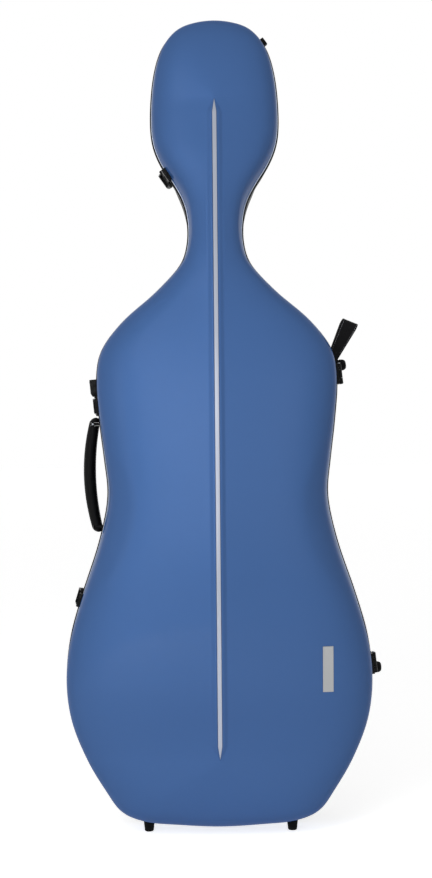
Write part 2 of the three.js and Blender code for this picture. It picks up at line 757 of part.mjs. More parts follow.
function addLatch(name, height) {
  const place = wallPlace(height, -1);
  const half = latchWidth / 2;
  const earInner = half - earThickness;
  const flangeOuter = earInner - runningGap;
  const flangeInner = flangeOuter - leverFlange;
  const hookHalf = flangeInner - runningGap;
  const hookPivot = pivotDepth + hookPivotReach;
  const bottom = -cutOverrun;
  const both = (make) => joined(...[-1, 1].map(make));
  const span = (side, low, high) => (side > 0 ? [low, high] : [-high, -low]);
  const stub = (depth, radius, side, low, high) =>
    rod(place, 'up', radius, ...span(side, low, high), [pivotOut, depth, 0]);

  const plate = block(place, [bottom, latchPlateTop], [latchPlateStart, latchPlateEnd], [-half, half]);
  const ears = both((side) => block(place, [bottom, earHeight],
    [pivotDepth - earLength / 2, pivotDepth + earLength / 2], span(side, earInner, half)));
  const rivets = both((side) => stub(pivotDepth, rivetRadius, side, flangeInner + runningGap / 2, half));
  add(baseGroup, `latch_${name}_plate`,
    cutFrom(joined(plate, ears, rivets), baseOutside), finishes.blackMetal);

  const leverOutline = [
    ...arcPoints(pivotDepth, pivotOut, leverNose, 270, 90, 4),
    [leverRoofStart, leverTop - leverRoof / 4], [leverRoofStart + leverRoof, leverTop],
    [leverRoofEnd + leverRoof, leverTop - leverRoof / 4], [leverEnd, pivotOut],
    [leverEnd, leverBottom + leverRoof / 4], [leverEnd - leverRoof, leverBottom], [hookPivot, leverBottom],
  ];
  const roofUnder = leverTop - leverRoof;
  const below = -flangeOuter - cutOverrun;
  const beyond = leverTop + cutOverrun;
  const chamfer = profileBack(place, [
    [leverTop - leverChamfer, below], [beyond, below], [beyond, leverChamfer + cutOverrun - flangeOuter],
    [leverTop - leverChamfer, -flangeOuter],
  ], 0, leverEnd + cutOverrun);
  const lever = cutFrom(
    profileAlong(place, leverOutline, -flangeOuter, flangeOuter),
    block(place, [bottom, leverTop + cutOverrun], [0, leverRoofStart], [-flangeInner, flangeInner]),
    block(place, [bottom, roofUnder], [0, leverRoofEnd], [-flangeInner, flangeInner]),
    chamfer,
    ...[pivotDepth, hookPivot].map((depth) => rod(
      place, 'up', rivetBore, -half, half, [pivotOut, depth, 0])));
  add(baseGroup, `latch_${name}_lever`, lever, finishes.blackMetal);

  const hookLow = pivotOut - hookThickness / 2;
  const hookHigh = pivotOut + hookThickness / 2;
  const noseFar = -hookReach - hookNoseLength;
  const hookEye = rod(place, 'up', hookEyeRadius, -hookHalf, hookHalf, [pivotOut, hookPivot, 0]);
  const hookPlate = block(place, [hookLow, hookHigh], [noseFar, hookPivot], [-hookHalf, hookHalf]);
  const nose = block(
    place, [keeperTop + runningGap, hookHigh], [noseFar, -hookReach], [-hookHalf, hookHalf]);
  const pins = both((side) => stub(hookPivot, rivetRadius, side, 0, flangeOuter - runningGap / 2));
  add(baseGroup, `latch_${name}_hook`, joined(hookPlate, hookEye, nose, pins), finishes.blackMetal);

  const lipNear = -hookReach + runningGap;
  const keeper = joined(
    block(place, [bottom, keeperTop], [noseFar - lipThickness, noseFar - lipThickness + keeperLength],
      [-keeperHalfWidth, keeperHalfWidth]),
    block(place, [bottom, lipHeight], [lipNear, lipNear + lipThickness], [-hookHalf, hookHalf]));
  add(lidGroup, `latch_${name}_keeper`, cutFrom(keeper, lidOutside), finishes.blackMetal);
}

function addLock() {
  const latchTop = latchWidth / 2;
  const place = wallPlace(heightAt(heightShares.latchMiddle), -1);
  const low = latchTop + 2 * runningGap;
  const high = low + lockHeight;
  const middle = (low + high) / 2;
  const shaftOut = lockProud - wheelRadius + wheelProud;
  const outline = [
    [lockStart, -cutOverrun], [lockEnd, -cutOverrun], [lockEnd, lockProud - lockChamfer],
    [lockEnd - lockChamfer, lockProud], [lockStart + lockChamfer / 2, lockProud],
    [lockStart, lockProud - lockChamfer / 2],
  ];
  const slope = profileBack(place, [
    [lockProud - lockChamfer / 2, low - cutOverrun], [lockProud + cutOverrun, low - cutOverrun],
    [lockProud + cutOverrun, low + lockChamfer + 2 * cutOverrun], [lockProud - lockChamfer / 2, low],
  ], 0, lockEnd + cutOverrun);
  const shaftCentre = [shaftOut, wheelDepth, 0];
  let body = cutFrom(profileAlong(place, outline, low, high), slope);
  const wheels = [];
  for (let k = 0; k < wheelCount; k++) {
    const at = middle + (k - (wheelCount - 1) / 2) * wheelPitch;
    const lowFace = at - wheelThickness / 2;
    const highFace = at + wheelThickness / 2;
    body = cutFrom(body, rod(place, 'up', wheelRadius + runningGap,
      lowFace - seatGap, highFace + seatGap, shaftCentre, footFaces));
    wheels.push(cutFrom(
      rod(place, 'up', wheelRadius, lowFace, highFace, shaftCentre, footFaces),
      rod(place, 'up', wheelBore, low, high, shaftCentre)));
  }
  const wheelSpan = (wheelCount * wheelPitch) / 2;
  body = joined(body, rod(place, 'up', wheelShaft, middle - wheelSpan, middle + wheelSpan, shaftCentre));
  add(baseGroup, 'lock_body', cutFrom(body, baseOutside), finishes.blackMetal);
  wheels.forEach((wheel, k) => add(baseGroup, `lock_wheel_${k + 1}`, wheel, finishes.steel));
}

// The handle's frame runs between the wall points beside its two pins
const handlePlace = (() => {
  const reach = latchWidth / 2 + handleClear + gripEndOverhang + handlePinSpan / 2;
  const centre = heightAt(heightShares.latchMiddle) - reach;
  const top = rightEdge(centre + handlePinSpan / 2).point;
  const bottom = rightEdge(centre - handlePinSpan / 2).point;
  top.x = -top.x;
  bottom.x = -bottom.x;
  const up = top.clone().sub(bottom).normalize();
  const out = new THREE.Vector3(-up.z, 0, up.x);
  const origin = top.clone().add(bottom).multiplyScalar(0.5);
  return placeAt(origin.setY(handleDepth), out, up);
})();

function addHandle() {
  const place = handlePlace;
  const pinUp = handlePinSpan / 2;
  const end = pinUp + gripEndOverhang;
  const sections = Array.from({ length: gripSteps + 1 }, (_, k) => {
    const share = Math.sin((k / gripSteps - 1 / 2) * Math.PI);
    const up = end * share;
    const swell = 1 - Math.abs(share) ** gripSwellPower;
    const round = Math.max(Math.sqrt(1 - Math.abs(share) ** gripTipPower), gripTipShare);
    const thick = (gripEndRadius + (gripThickness / 2 - gripEndRadius) * swell) * round;
    const wide = (gripEndRadius + (gripWidth / 2 - gripEndRadius) * swell) * round;
    const centre = handlePinOut + gripRise * (1 - (up / pinUp) ** 2);
    return Array.from({ length: gripFaces }, (_, j) => {
      const angle = (2 * Math.PI * j) / gripFaces;
      const spot = [centre + thick * Math.cos(angle), wide * Math.sin(angle), up];
      return new THREE.Vector3(...spot).applyMatrix4(place);
    });
  });
  const slotHalf = lugThickness / 2 + seatGap;
  const slotOut = handlePinOut + lugNose + runningGap;
  const slots = [-1, 1].map((side) => block(
    place, [-cutOverrun, slotOut], [-gripWidth, gripWidth],
    [side * pinUp - slotHalf, side * pinUp + slotHalf]));
  const bores = [-1, 1].map((side) => rod(
    place, 'up', handlePinRadius + runningGap,
    side * pinUp - handlePinReach - seatGap, side * pinUp + handlePinReach + seatGap,
    [handlePinOut, 0, 0]));
  add(baseGroup, 'handle_grip', cutFrom(loft(sections, 'fan'), ...slots, ...bores), finishes.leather);

  for (const [name, side] of [['upper', 1], ['lower', -1]]) {
    const at = side * pinUp;
    const thick = lugThickness / 2;
    const bracket = joined(
      block(place, [-cutOverrun, bracketThickness],
        [-bracketHalfWidth, bracketHalfWidth], [at - bracketHalfHeight, at + bracketHalfHeight]),
      block(place, [-cutOverrun, handlePinOut], [-lugNose, lugNose], [at - thick, at + thick]),
      rod(place, 'up', lugNose, at - thick, at + thick, [handlePinOut, 0, 0]),
      rod(place, 'up', handlePinRadius, at - handlePinReach, at + handlePinReach, [handlePinOut, 0, 0]));
    add(baseGroup, `handle_bracket_${name}`, cutFrom(bracket, baseOutside), finishes.blackMetal);
  }
}

// A leather strap folded into an eye: its section is drawn in depth and length, then flared in width
function addStrapLoop() {
  const angle = THREE.MathUtils.degToRad(loopAngle);
  const along = new THREE.Vector3(Math.cos(angle), 0, Math.sin(angle));
  const across = new THREE.Vector3(Math.sin(angle), 0, -Math.cos(angle));
  const eyeHalf = loopEye / 2;
  const outer = eyeHalf + loopThickness;
  const eyeAt = loopLength - outer;
  const full = loopLength * loopTaperShare;
  const root = rightEdge(heightAt(heightShares.strapLoop)).point;
  const join = loopLength * loopJoinShare;
  const outside = [
    [-loopThickness, 0], [-loopThickness, join],
    ...arcPoints(0, eyeAt, outer, 180, 0, 8),
    [loopThickness, join], [loopThickness, 0],
  ];
  const shape = new THREE.Shape(outside.map(([d, s]) => new THREE.Vector2(d, s)));
  const hole = [[0, join + loopThickness], ...arcPoints(0, eyeAt, eyeHalf, 0, 180, 8)];
  shape.holes.push(new THREE.Path(hole.map(([d, s]) => new THREE.Vector2(d, s))));
  const body = new THREE.ExtrudeGeometry(shape, { depth: 1, bevelEnabled: false });
  const at = body.getAttribute('position');
  for (let i = 0; i < at.count; i++) {
    const [depth, length, side] = [at.getX(i), at.getY(i), at.getZ(i) - 1 / 2];
    const flare = loopNeckShare + (1 - loopNeckShare) * Math.min(length / full, 1);
    const spot = new THREE.Vector3(root.x - loopSink, loopDepth + depth, root.z)
      .addScaledVector(along, length).addScaledVector(across, side * loopWidth * flare);
    at.setXYZ(i, spot.x, spot.y, spot.z);
  }
  add(baseGroup, 'strap_loop', cutFrom(solidOf(body), baseOutside), finishes.leather);
}

function addBumper() {
  const place = wallPlace(heightAt(heightShares.bumper), 1);
  const half = bumperLength / 2;
  const near = rimHeight + seatGap;
  const far = near + bumperDepth;
  const outline = [
    [near, -cutOverrun], [far, -cutOverrun], [far, bumperProud - bumperChamfer],
    [far - bumperChamfer, bumperProud], [near + bumperChamfer, bumperProud],
    [near, bumperProud - bumperChamfer],
  ];
  add(baseGroup, 'head_bumper', cutFrom(profileAlong(place, outline, -half, half), baseOutside),
    finishes.rubber);
}

// A closed wire bent along points in the plane of the ring
function wireLoop(points, place, radius) {
  const sections = points.map(([x, z], i) => {
    const before = points.at(i - 1);
    const after = points[(i + 1) % points.length];
    const side = new THREE.Vector2(after[1] - before[1], before[0] - after[0]).normalize();
    return Array.from({ length: wireFaces }, (_, j) => {
      const angle = (2 * Math.PI * j) / wireFaces;
      const reach = radius * Math.cos(angle);
      const spot = [x + side.x * reach, radius * Math.sin(angle), z + side.y * reach];
      return new THREE.Vector3(...spot).applyMatrix4(place);
    });
  });
  return loft(sections, 'ring');
}

function addRing(name, x, z) {
  const behind = crownDepth(base, z);
  const spot = new THREE.Vector3(x, behind + ringStandOff, z);
  const place = placeAt(spot, new THREE.Vector3(1, 0, 0), new THREE.Vector3(0, 0, 1));
  const bend = arcPoints(0, ringHalfWidth - ringDrop, ringHalfWidth, 0, -180, 8);
  const corner = ringWire / 2;
  const points = [
    [-ringHalfWidth + corner, 0], [0, 0], [ringHalfWidth - corner, 0], [ringHalfWidth, -corner], ...bend,
    [-ringHalfWidth, -corner],
  ];
  add(baseGroup, `ring_${name}`, wireLoop(points, place, ringWire), finishes.steel);
  const half = anchorHalfWidth;
  const barrel = rod(place, 'out', anchorBarrel, -half, half, [0, 0, 0]);
  const foot = block(place, [-half, half], [-ringStandOff - cutOverrun, 0], [-corner, anchorBarrel]);
  const plate = block(place, [-half, half],
    [-ringStandOff - cutOverrun, -ringStandOff + anchorThickness], [-corner, anchorHeight]);
  const bore = rod(place, 'out', anchorBore, -half - cutOverrun, half + cutOverrun, [0, 0, 0]);
  add(baseGroup, `ring_anchor_${name}`,
    cutFrom(joined(barrel, foot, plate), bore, baseOutside), finishes.blackMetal);
}

function addNeckHolders() {
  const wide = boutHalfWidth;
  const centre = heightAt(heightShares.neckRest);
  const restLow = centre - neckRestLength / 2;
  const restHigh = centre + neckRestLength / 2;
  const strapLow = centre - strapWidth / 2;
  const rest = block(caseFrame, [-wide, wide], [neckRestFront, baseDepth], [restLow, restHigh]);
  const cradle = rod(caseFrame, 'up', neckRestCradle, restLow - cutOverrun,
    restHigh + cutOverrun, [0, neckRestCradleY, 0]);
  add(baseGroup, 'neck_rest', cutFrom(rest.intersect(baseRoom), cradle), finishes.plush);

  const halfSpan = rightEdge(centre).point.x - shellWall - liningThickness;
  const bow = (grow) => arcPoints(0, 0, 1, 180, 0, 10).map(([x, y]) =>
    [x * (halfSpan + grow), -(y * (strapRise + grow)) + strapSeatY]);
  const band = [...bow(0), ...bow(-strapThickness).reverse()];
  const shape = new THREE.Shape(band.map(([x, y]) => new THREE.Vector2(x, y)));
  const body = new THREE.ExtrudeGeometry(shape, { depth: strapWidth, bevelEnabled: false });
  body.translate(0, 0, strapLow);
  const front = block(caseFrame, [-wide, wide], [-lidDepth, seatGap], [0, shellHeight]);
  add(baseGroup, 'neck_strap', solidOf(body).intersect(baseRoom.add(front)), finishes.webbing);
}

function addEndpinBlock() {
  const body = block(
    caseFrame, [-endpinHalfWidth, endpinHalfWidth], [endpinFront, baseDepth], [0, endpinTop]);
  const well = rod(caseFrame, 'up', endpinWell, endpinWellFloor, endpinTop + cutOverrun,
    [0, endpinWellY, 0]);
  add(baseGroup, 'endpin_block', cutFrom(body.intersect(baseRoom), well), finishes.moulded);
}

function addBackPads() {
  const pads = [
    ['upper', widthShares.upperPad, heightShares.upperPad, upperPadLength],
    ['lower', widthShares.lowerPad, heightShares.lowerPad, lowerPadLength],
  ];
  for (const [name, widthShare, heightShare, length] of pads) {
    const half = widthAt(widthShare);
    const low = heightAt(heightShare) - length / 2;
    const high = low + length;
    const floor = crownDepth(base, low) - shellWall - liningGap - liningThickness;
    const body = block(caseFrame, [-half, half], [floor - padThickness, baseDepth], [low, high]);
    add(baseGroup, `back_pad_${name}`, body.intersect(baseRoom), finishes.plush);
  }
}

function addBowHolders() {
  const wide = widthAt(widthShares.pocket);
  const low = heightAt(heightShares.pocket) - pocketLength / 2;
  const high = low + pocketLength;
  const roof = crownDepth(lid, low) - shellWall - liningGap - liningThickness;
  const outer = block(caseFrame, [-wide, wide], [-lidDepth, pocketDepth - roof], [low, high]);
  const inner = block(caseFrame, [pocketWall - wide, wide - pocketWall],
    [-lidDepth, pocketDepth - roof - pocketWall], [low + pocketWall, high + cutOverrun]);
  add(lidGroup, 'bow_pocket', cutFrom(outer.intersect(lidRoom), inner), finishes.webbing);

  const clipHeight = heightAt(heightShares.bowClip);
  const ceiling = crownDepth(lid, clipHeight) - shellWall - liningGap - liningThickness;
  for (const [name, side] of [['left', -1], ['right', 1]]) {
    const place = caseFrame.clone().setPosition(side * widthAt(widthShares.bowClip), 0, clipHeight);
    const seat = clipBaseHeight + clipBaseRadius / 2 - ceiling;
    const under = seat + runningGap;
    const over = under + clipBarThickness;
    const centre = [0, 0, 0];
    const disc = rod(place, 'depth', clipBaseRadius, -lidDepth, seat, centre).intersect(lidRoom);
    const head = over + seatGap;
    const baseBody = joined(
      disc, rod(place, 'depth', clipStud, seat - clipBaseHeight / 2, head + clipHeadHeight / 2, centre),
      rod(place, 'depth', clipHeadRadius, head, head + clipHeadHeight, centre));
    add(lidGroup, `bow_clip_base_${name}`, baseBody, finishes.moulded);
    const bar = joined(
      block(place, [-clipBarHalfLength, clipBarHalfLength], [under, over],
        [-clipBarHalfWidth, clipBarHalfWidth]),
      ...[-1, 1].map((end) => rod(
        place, 'depth', clipBarHalfWidth, under, over, [end * clipBarHalfLength, 0, 0])));
    const bore = rod(place, 'depth', clipStud + runningGap, under - cutOverrun, over + cutOverrun, centre);
    add(lidGroup, `bow_clip_bar_${name}`, cutFrom(bar, bore), finishes.moulded);
  }
}

addShells();
addRims();
addStrip();
addNamePlate();
addFeet();
addSideFeet();
addHinge('upper', heightAt(heightShares.hingeUpper));
addHinge('lower', heightAt(heightShares.hingeLower));
addLatch('head', heightAt(heightShares.latchHead));
addLatch('middle', heightAt(heightShares.latchMiddle));
addLatch('lower', heightAt(heightShares.latchLower));
addLock();
addHandle();
addStrapLoop();
addBumper();
for (const [side, sign] of [['left', -1], ['right', 1]]) {
  addRing(`upper_${side}`, sign * widthAt(widthShares.ringUpper), heightAt(heightShares.ringUpper));
  addRing(`lower_${side}`, sign * widthAt(widthShares.ringLower), heightAt(heightShares.ringLower));
}
addNeckHolders();
addEndpinBlock();
addBackPads();
addBowHolders();

// The origin lies under the middle of the whole case
const bounds = new THREE.Box3().setFromObject(cello);
const middle = bounds.getCenter(new THREE.Vector3());
cello.position.set(-middle.x, -middle.y, 0);

export default cello;
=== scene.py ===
"""A hard case for a full-size cello: blue gloss lid, black base shell, metal edges and black fittings."""

import json
import math

import bmesh
import bpy
import numpy as np
from mathutils import Matrix, Vector


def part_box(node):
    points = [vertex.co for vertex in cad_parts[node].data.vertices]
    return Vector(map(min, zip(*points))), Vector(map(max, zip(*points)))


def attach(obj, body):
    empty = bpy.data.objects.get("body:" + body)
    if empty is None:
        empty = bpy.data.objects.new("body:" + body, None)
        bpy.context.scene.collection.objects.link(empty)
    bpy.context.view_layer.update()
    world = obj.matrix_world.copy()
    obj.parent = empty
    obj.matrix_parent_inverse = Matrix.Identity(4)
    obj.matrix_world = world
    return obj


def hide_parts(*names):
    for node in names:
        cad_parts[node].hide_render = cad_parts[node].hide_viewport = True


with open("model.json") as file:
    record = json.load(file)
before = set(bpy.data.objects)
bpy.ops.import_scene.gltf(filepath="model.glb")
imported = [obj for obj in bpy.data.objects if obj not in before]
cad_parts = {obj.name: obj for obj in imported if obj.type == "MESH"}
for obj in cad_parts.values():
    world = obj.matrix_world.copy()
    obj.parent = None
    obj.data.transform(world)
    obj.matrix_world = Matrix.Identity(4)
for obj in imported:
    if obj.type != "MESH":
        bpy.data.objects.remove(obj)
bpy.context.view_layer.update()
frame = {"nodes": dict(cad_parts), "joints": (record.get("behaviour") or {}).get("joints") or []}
nodes = frame["nodes"]

# Sizes in millimetres, in the case's own frame: x across, y back from the seam, z up from the floor
MM = 0.001
SHELL_HEIGHT = 1320
SHELL_LIFT = 9
HALF_WIDTH = 250.5
LID_DEPTH = 150
BASE_DEPTH = 132
SHELL_WALL = 4
LINING_THICKNESS = 14
LINING_GAP = 0.4
SEAT_GAP = 0.3
RUN_GAP = 0.4
LID_RIM_PROUD = 1.0
BASE_RIM_PROUD = 3.3
RIM_HEIGHT = 8
SHELL_START = RIM_HEIGHT + SEAT_GAP
LINING_START = SHELL_START + LINING_GAP
POLE_TOP = SHELL_LIFT + 0.8963 * SHELL_HEIGHT
POLE_BOTTOM = SHELL_LIFT + 0.0902 * SHELL_HEIGHT
RIDGE_HALF = 14
RIDGE_HEIGHT = 3.4
RIDGE_LIP = 0.8
GROOVE_FLOOR = 1.4
STRIP_HALF = 3.6
STRIP_PROUD = 0.6
STRIP_TAPER = 24
SCOOP_DEPTH = 3
SCOOP_LOW = SHELL_LIFT + 0.2962 * SHELL_HEIGHT
SCOOP_HIGH = SHELL_LIFT + 0.4643 * SHELL_HEIGHT
SCOOP_CREASE = 0.7
SCOOP_SOFT = 0.05
TENT = 0.14
# Fittings start this far inside the wall and are then trimmed to it
ROOT = -6

strip_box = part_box("centre_strip")
OFFSET = np.array([
    (strip_box[0].x + strip_box[1].x) / 2 / MM,
    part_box("base_rim")[1].y / MM - RIM_HEIGHT,
    0.0,
])

# Half outline at the seam, from the top centre down to the bottom centre: share of half the width,
# share of the height
OUTLINE = [
    (0, 1), (0.124, 0.9973), (0.2304, 0.9903), (0.3038, 0.9773), (0.3514, 0.9615), (0.3954, 0.9283),
    (0.4146, 0.8732), (0.399, 0.8459), (0.3458, 0.8213), (0.2628, 0.7968), (0.197, 0.772),
    (0.1717, 0.7384), (0.1816, 0.718), (0.2156, 0.6982), (0.391, 0.6611), (0.615, 0.624),
    (0.7585, 0.5869), (0.788, 0.5528), (0.77, 0.501), (0.7385, 0.4513), (0.7186, 0.4081),
    (0.7741, 0.3529), (0.902, 0.279), (0.974, 0.2293), (1, 0.1804), (0.9692, 0.1309),
    (0.868, 0.0816), (0.7522, 0.0447), (0.6522, 0.0188), (0.499, 0.0068), (0.28, 0.0026), (0, 0),
]
# Stations up the case: share of the height, then a share of the depth, a power or millimetres
LID_CROWN = [
    (0.0895, 0.79), (0.1829, 0.92), (0.3051, 1), (0.4174, 0.97), (0.5496, 0.89),
    (0.66, 0.76), (0.7504, 0.65), (0.8269, 0.56), (0.8966, 0.49),
]
BASE_CROWN = [(0.0895, 0.9), (0.2187, 0.97), (0.4174, 1), (0.6759, 0.98), (0.8249, 0.93), (0.8966, 0.86)]
LID_POWERS = [(0.09, 5.2), (0.6, 5.2), (0.74, 4), (0.896, 4)]
BASE_POWERS = [(0.09, 4.2), (0.6, 4.2), (0.74, 6), (0.896, 6)]
LID_LEAN = [(0.0895, 1.4), (0.22, 1.6), (0.33, 3.8), (0.44, 4.2), (0.54, 2.4), (0.66, 1.6), (0.8966, 1.6)]
BASE_SWELL = [(0.68, 0), (0.735, 2.2), (0.76, 4), (0.775, 4), (0.79, 2.4), (0.803, 0)]
COLUMNS = 720
OUTER_RINGS = 44
INNER_RINGS = 18
SEAT_RINGS = 14
SEAT_COLUMN_STEP = 3
BEVEL_LIMIT = 34


# Lines of points

def eased(t):
    """A smooth step from 0 to 1."""
    return 3 * t * t - 2 * t ** 3


def run_lengths(points):
    """The distance along a line of points up to each of them."""
    return np.concatenate([[0], np.cumsum(np.linalg.norm(np.diff(points, axis=0), axis=1))])


def between(at, lengths, points):
    """Points at given distances along a line."""
    return np.stack([np.interp(at, lengths, column) for column in np.asarray(points, float).T], axis=-1)


def evenly(points, count=0, step=1.0):
    """A closed loop spaced evenly from its first point, into a count of points or by about a step."""
    closed = np.vstack([points, points[:1]])
    lengths = run_lengths(closed)
    count = count or int(lengths[-1] / step)
    return between(np.linspace(0, lengths[-1], count, endpoint=False), lengths, closed)


def blurred(points, reach, closed=True):
    """A line blurred over a number of its own steps, which evens its bends. An open one keeps its ends."""
    span = (3 if closed else 2) * reach
    steps = np.arange(-span, span + 1)
    weights = np.exp(-0.5 * (steps / reach) ** 2)
    index, count = np.arange(len(points)), len(points)
    rows = [(index - s) % count if closed else np.clip(index + s, 0, count - 1) for s in steps]
    made = sum(w * points[row] for w, row in zip(weights / weights.sum(), rows))
    if not closed:
        made[0], made[-1] = points[0], points[-1]
    return made


def closed_curve(points, samples):
    """Centripetal curve through a closed loop of points, resampled evenly from its first point."""
    count = len(points)
    curve = []
    for i in range(count):
        p = [points[(i + k) % count] for k in (-1, 0, 1, 2)]
        step = [max(np.linalg.norm(p[k + 1] - p[k]) ** 0.5, 1e-6) for k in range(3)]
        d = [(p[k + 1] - p[k]) / step[k] for k in range(3)]
        t1 = (d[0] - (p[2] - p[0]) / (step[0] + step[1]) + d[1]) * step[1]
        t2 = (d[1] - (p[3] - p[1]) / (step[1] + step[2]) + d[2]) * step[1]
        square, cube = -3 * p[1] + 3 * p[2] - 2 * t1 - t2, 2 * p[1] - 2 * p[2] + t1 + t2
        curve += [p[1] + t1 * u + square * u * u + cube * u ** 3
                  for u in np.linspace(0, 1, 40, endpoint=False)]
    return evenly(np.array(curve), samples)


# Form of the case

def height_at(share):
    return SHELL_LIFT + share * SHELL_HEIGHT


def seam_outline():
    """Points of the whole outline at the seam from the top centre, and their outward normals."""
    right = np.array([[w * HALF_WIDTH, height_at(h)] for w, h in OUTLINE])
    left = right[1:-1][::-1] * np.array([-1, 1])
    loop = blurred(closed_curve(np.vstack([right, left]), COLUMNS), 2)
    loop[0, 0] = loop[COLUMNS // 2, 0] = 0
    along = np.roll(loop, -1, axis=0) - np.roll(loop, 1, axis=0)
    along /= np.linalg.norm(along, axis=1, keepdims=True)
    return loop, np.stack([-along[:, 1], along[:, 0]], axis=1)


EDGE, EDGE_NORMAL = seam_outline()
HALF_EDGE = slice(COLUMNS // 2, None, -1)


def right_edge(z):
    """Point and outward normal of the right-hand edge at a height."""
    x, normal = (between(z, EDGE[HALF_EDGE, 1], line[HALF_EDGE]) for line in (EDGE, EDGE_NORMAL))
    return np.array([x[0], z]), normal / np.linalg.norm(normal)


def inset_edge(inset):
    """The outline at the seam, moved in, with its two middle points kept on the middle."""
    loop = EDGE - EDGE_NORMAL * inset
    loop[0, 0] = loop[COLUMNS // 2, 0] = 0
    return loop


def value_at(stations, z):
    """Smooth curve through stations up the case, level at both ends."""
    x, y = np.array(stations).T
    share = np.clip((np.asarray(z, float) - SHELL_LIFT) / SHELL_HEIGHT, x[0], x[-1])
    slope = np.zeros(len(x))
    slope[1:-1] = (y[2:] - y[:-2]) / (x[2:] - x[:-2])
    i = np.clip(np.searchsorted(x, share) - 1, 0, len(x) - 2)
    width = x[i + 1] - x[i]
    t = (share - x[i]) / width
    bend = slope[i] * t * (1 - t) ** 2 - slope[i + 1] * t * t * (1 - t)
    return y[i] + (y[i + 1] - y[i]) * eased(t) + width * bend


def crown(lid, z):
    """Depth of a shell along its middle."""
    return LID_DEPTH * value_at(LID_CROWN, z) if lid else BASE_DEPTH * value_at(BASE_CROWN, z)


def roundness(lid, z):
    """Power of the rounded section at a height."""
    return value_at(LID_POWERS if lid else BASE_POWERS, z)


def section(lid, across, power):
    """Rise of a section: a rounded box, and on the lid a slight roof that runs up to the ridge."""
    round_rise = (1 - across ** power) ** (1 / power)
    return (1 - TENT) * round_rise + TENT * (1 - across) if lid else round_rise


def taper(z):
    return np.clip(np.minimum(z - POLE_BOTTOM, POLE_TOP - z) / STRIP_TAPER, 0, 1)


def scoop_push(across, z):
    """How far the lid is pressed in beside the waist, with the crease a little rounded."""
    along = (2 * z - SCOOP_LOW - SCOOP_HIGH) / (SCOOP_HIGH - SCOOP_LOW)
    leaf = np.clip(1 - along * along, 0, 1)
    crease = 1 - (1 - SCOOP_CREASE) * np.sqrt(leaf)
    reach = (across - crease) / np.maximum(1 - crease, 1e-6)
    soft = np.where(reach > 0, np.sqrt(reach ** 2 + SCOOP_SOFT ** 2) - SCOOP_SOFT, 0)
    return np.where(leaf > 0, 4 * SCOOP_DEPTH * leaf * soft * np.clip(1 - reach, 0, 1), 0)


def lean_in(lid, across, rise, z):
    """How far the side leans in: the lid's, most about the waist. The base's swells out under the head."""
    up, out = np.clip(rise / (0.5 if lid else 0.3), 0, 1), np.clip((across - 0.75) / 0.2, 0, 1)
    most = value_at(LID_LEAN, z) if lid else -value_at(BASE_SWELL, z)
    return most * eased(up) * eased(out)


def skin(lid, inset, start, rings, seat=0.0):
    """Loops of one skin, from the edge to the middle."""
    z = np.clip(EDGE[:, 1], POLE_BOTTOM, POLE_TOP)
    power = roundness(lid, z)
    edge = inset_edge(inset)
    inner = np.sign(EDGE[:, 0]) * seat * taper(z)
    loops = []
    for u in np.linspace(0, 1, rings + 1):
        p = 0.8 * power
        s = u ** p / (u ** p + (1 - u) ** p)
        across = (1 - s) ** (1 / power)
        rise = section(lid, across, power)
        push = scoop_push(across, z) * math.sqrt(0.5) if lid else 0
        lean = EDGE_NORMAL * lean_in(lid, across, rise, z)[:, None]
        x = inner + (edge[:, 0] - inner) * across
        level = start + (crown(lid, z) - inset - start) * rise
        loops.append(np.stack([x - lean[:, 0] - np.sign(x) * push, (-1 if lid else 1) * (level - push),
                               z + (edge[:, 1] - z) * across - lean[:, 1]], axis=1))
    return loops


def ridge():
    """Loops over the lid's middle from the foot of the ridge to the floor of the strip's groove."""
    groove = STRIP_HALF + SEAT_GAP
    steps = [(RIDGE_HALF + (groove + RIDGE_LIP - RIDGE_HALF) * t, RIDGE_HEIGHT * eased(t))
             for t in np.linspace(0, 1, 9)[1:]]
    steps += [(groove + 0.25, RIDGE_HEIGHT), (groove, RIDGE_HEIGHT - 0.25), (groove, GROOVE_FLOOR)]
    z = np.clip(EDGE[:, 1], POLE_BOTTOM, POLE_TOP)
    share = taper(z)
    return [np.stack([np.sign(EDGE[:, 0]) * half * share, -(crown(True, z) + lift * share), z], axis=1)
            for half, lift in steps]


def edge_loop(lid, inset, level):
    """The seam's outline, moved in and off the seam."""
    x, z = inset_edge(inset).T
    return np.stack([x, np.full(COLUMNS, (-1 if lid else 1) * level), z], axis=1)


def lid_surface(x, z, lift):
    """A point on the lid beside the ridge, lifted off it."""
    seat = RIDGE_HALF * float(taper(z))
    across = (abs(x) - seat) / (right_edge(z)[0][0] - seat)
    rise = float(section(True, across, float(roundness(True, z))))
    return np.array([x, -(SHELL_START + (float(crown(True, z)) - SHELL_START) * rise) - lift, z])


# Meshes

def linked(name, data):
    piece = bpy.data.objects.new(name, data)
    bpy.context.scene.collection.objects.link(piece)
    return piece


def smooth(piece, sharp=32):
    piece.data.shade_smooth()
    piece.data.set_sharp_from_angle(angle=math.radians(sharp))


def new_object(name, points, faces, sharp=35):
    """A mesh object from points in millimetres, with its faces turned out and its doubles merged."""
    mesh = bpy.data.meshes.new(name)
    mesh.from_pydata(((np.asarray(points) + OFFSET) * MM).tolist(), [], faces)
    work = bmesh.new()
    work.from_mesh(mesh)
    bmesh.ops.remove_doubles(work, verts=work.verts, dist=2e-6)
    bmesh.ops.dissolve_degenerate(work, edges=work.edges, dist=1e-7)
    bmesh.ops.recalc_face_normals(work, faces=work.faces)
    if work.calc_volume(signed=True) < 0:
        bmesh.ops.reverse_faces(work, faces=work.faces)
    work.to_mesh(mesh)
    work.free()
    piece = linked(name, mesh)
    smooth(piece, sharp)
    return piece


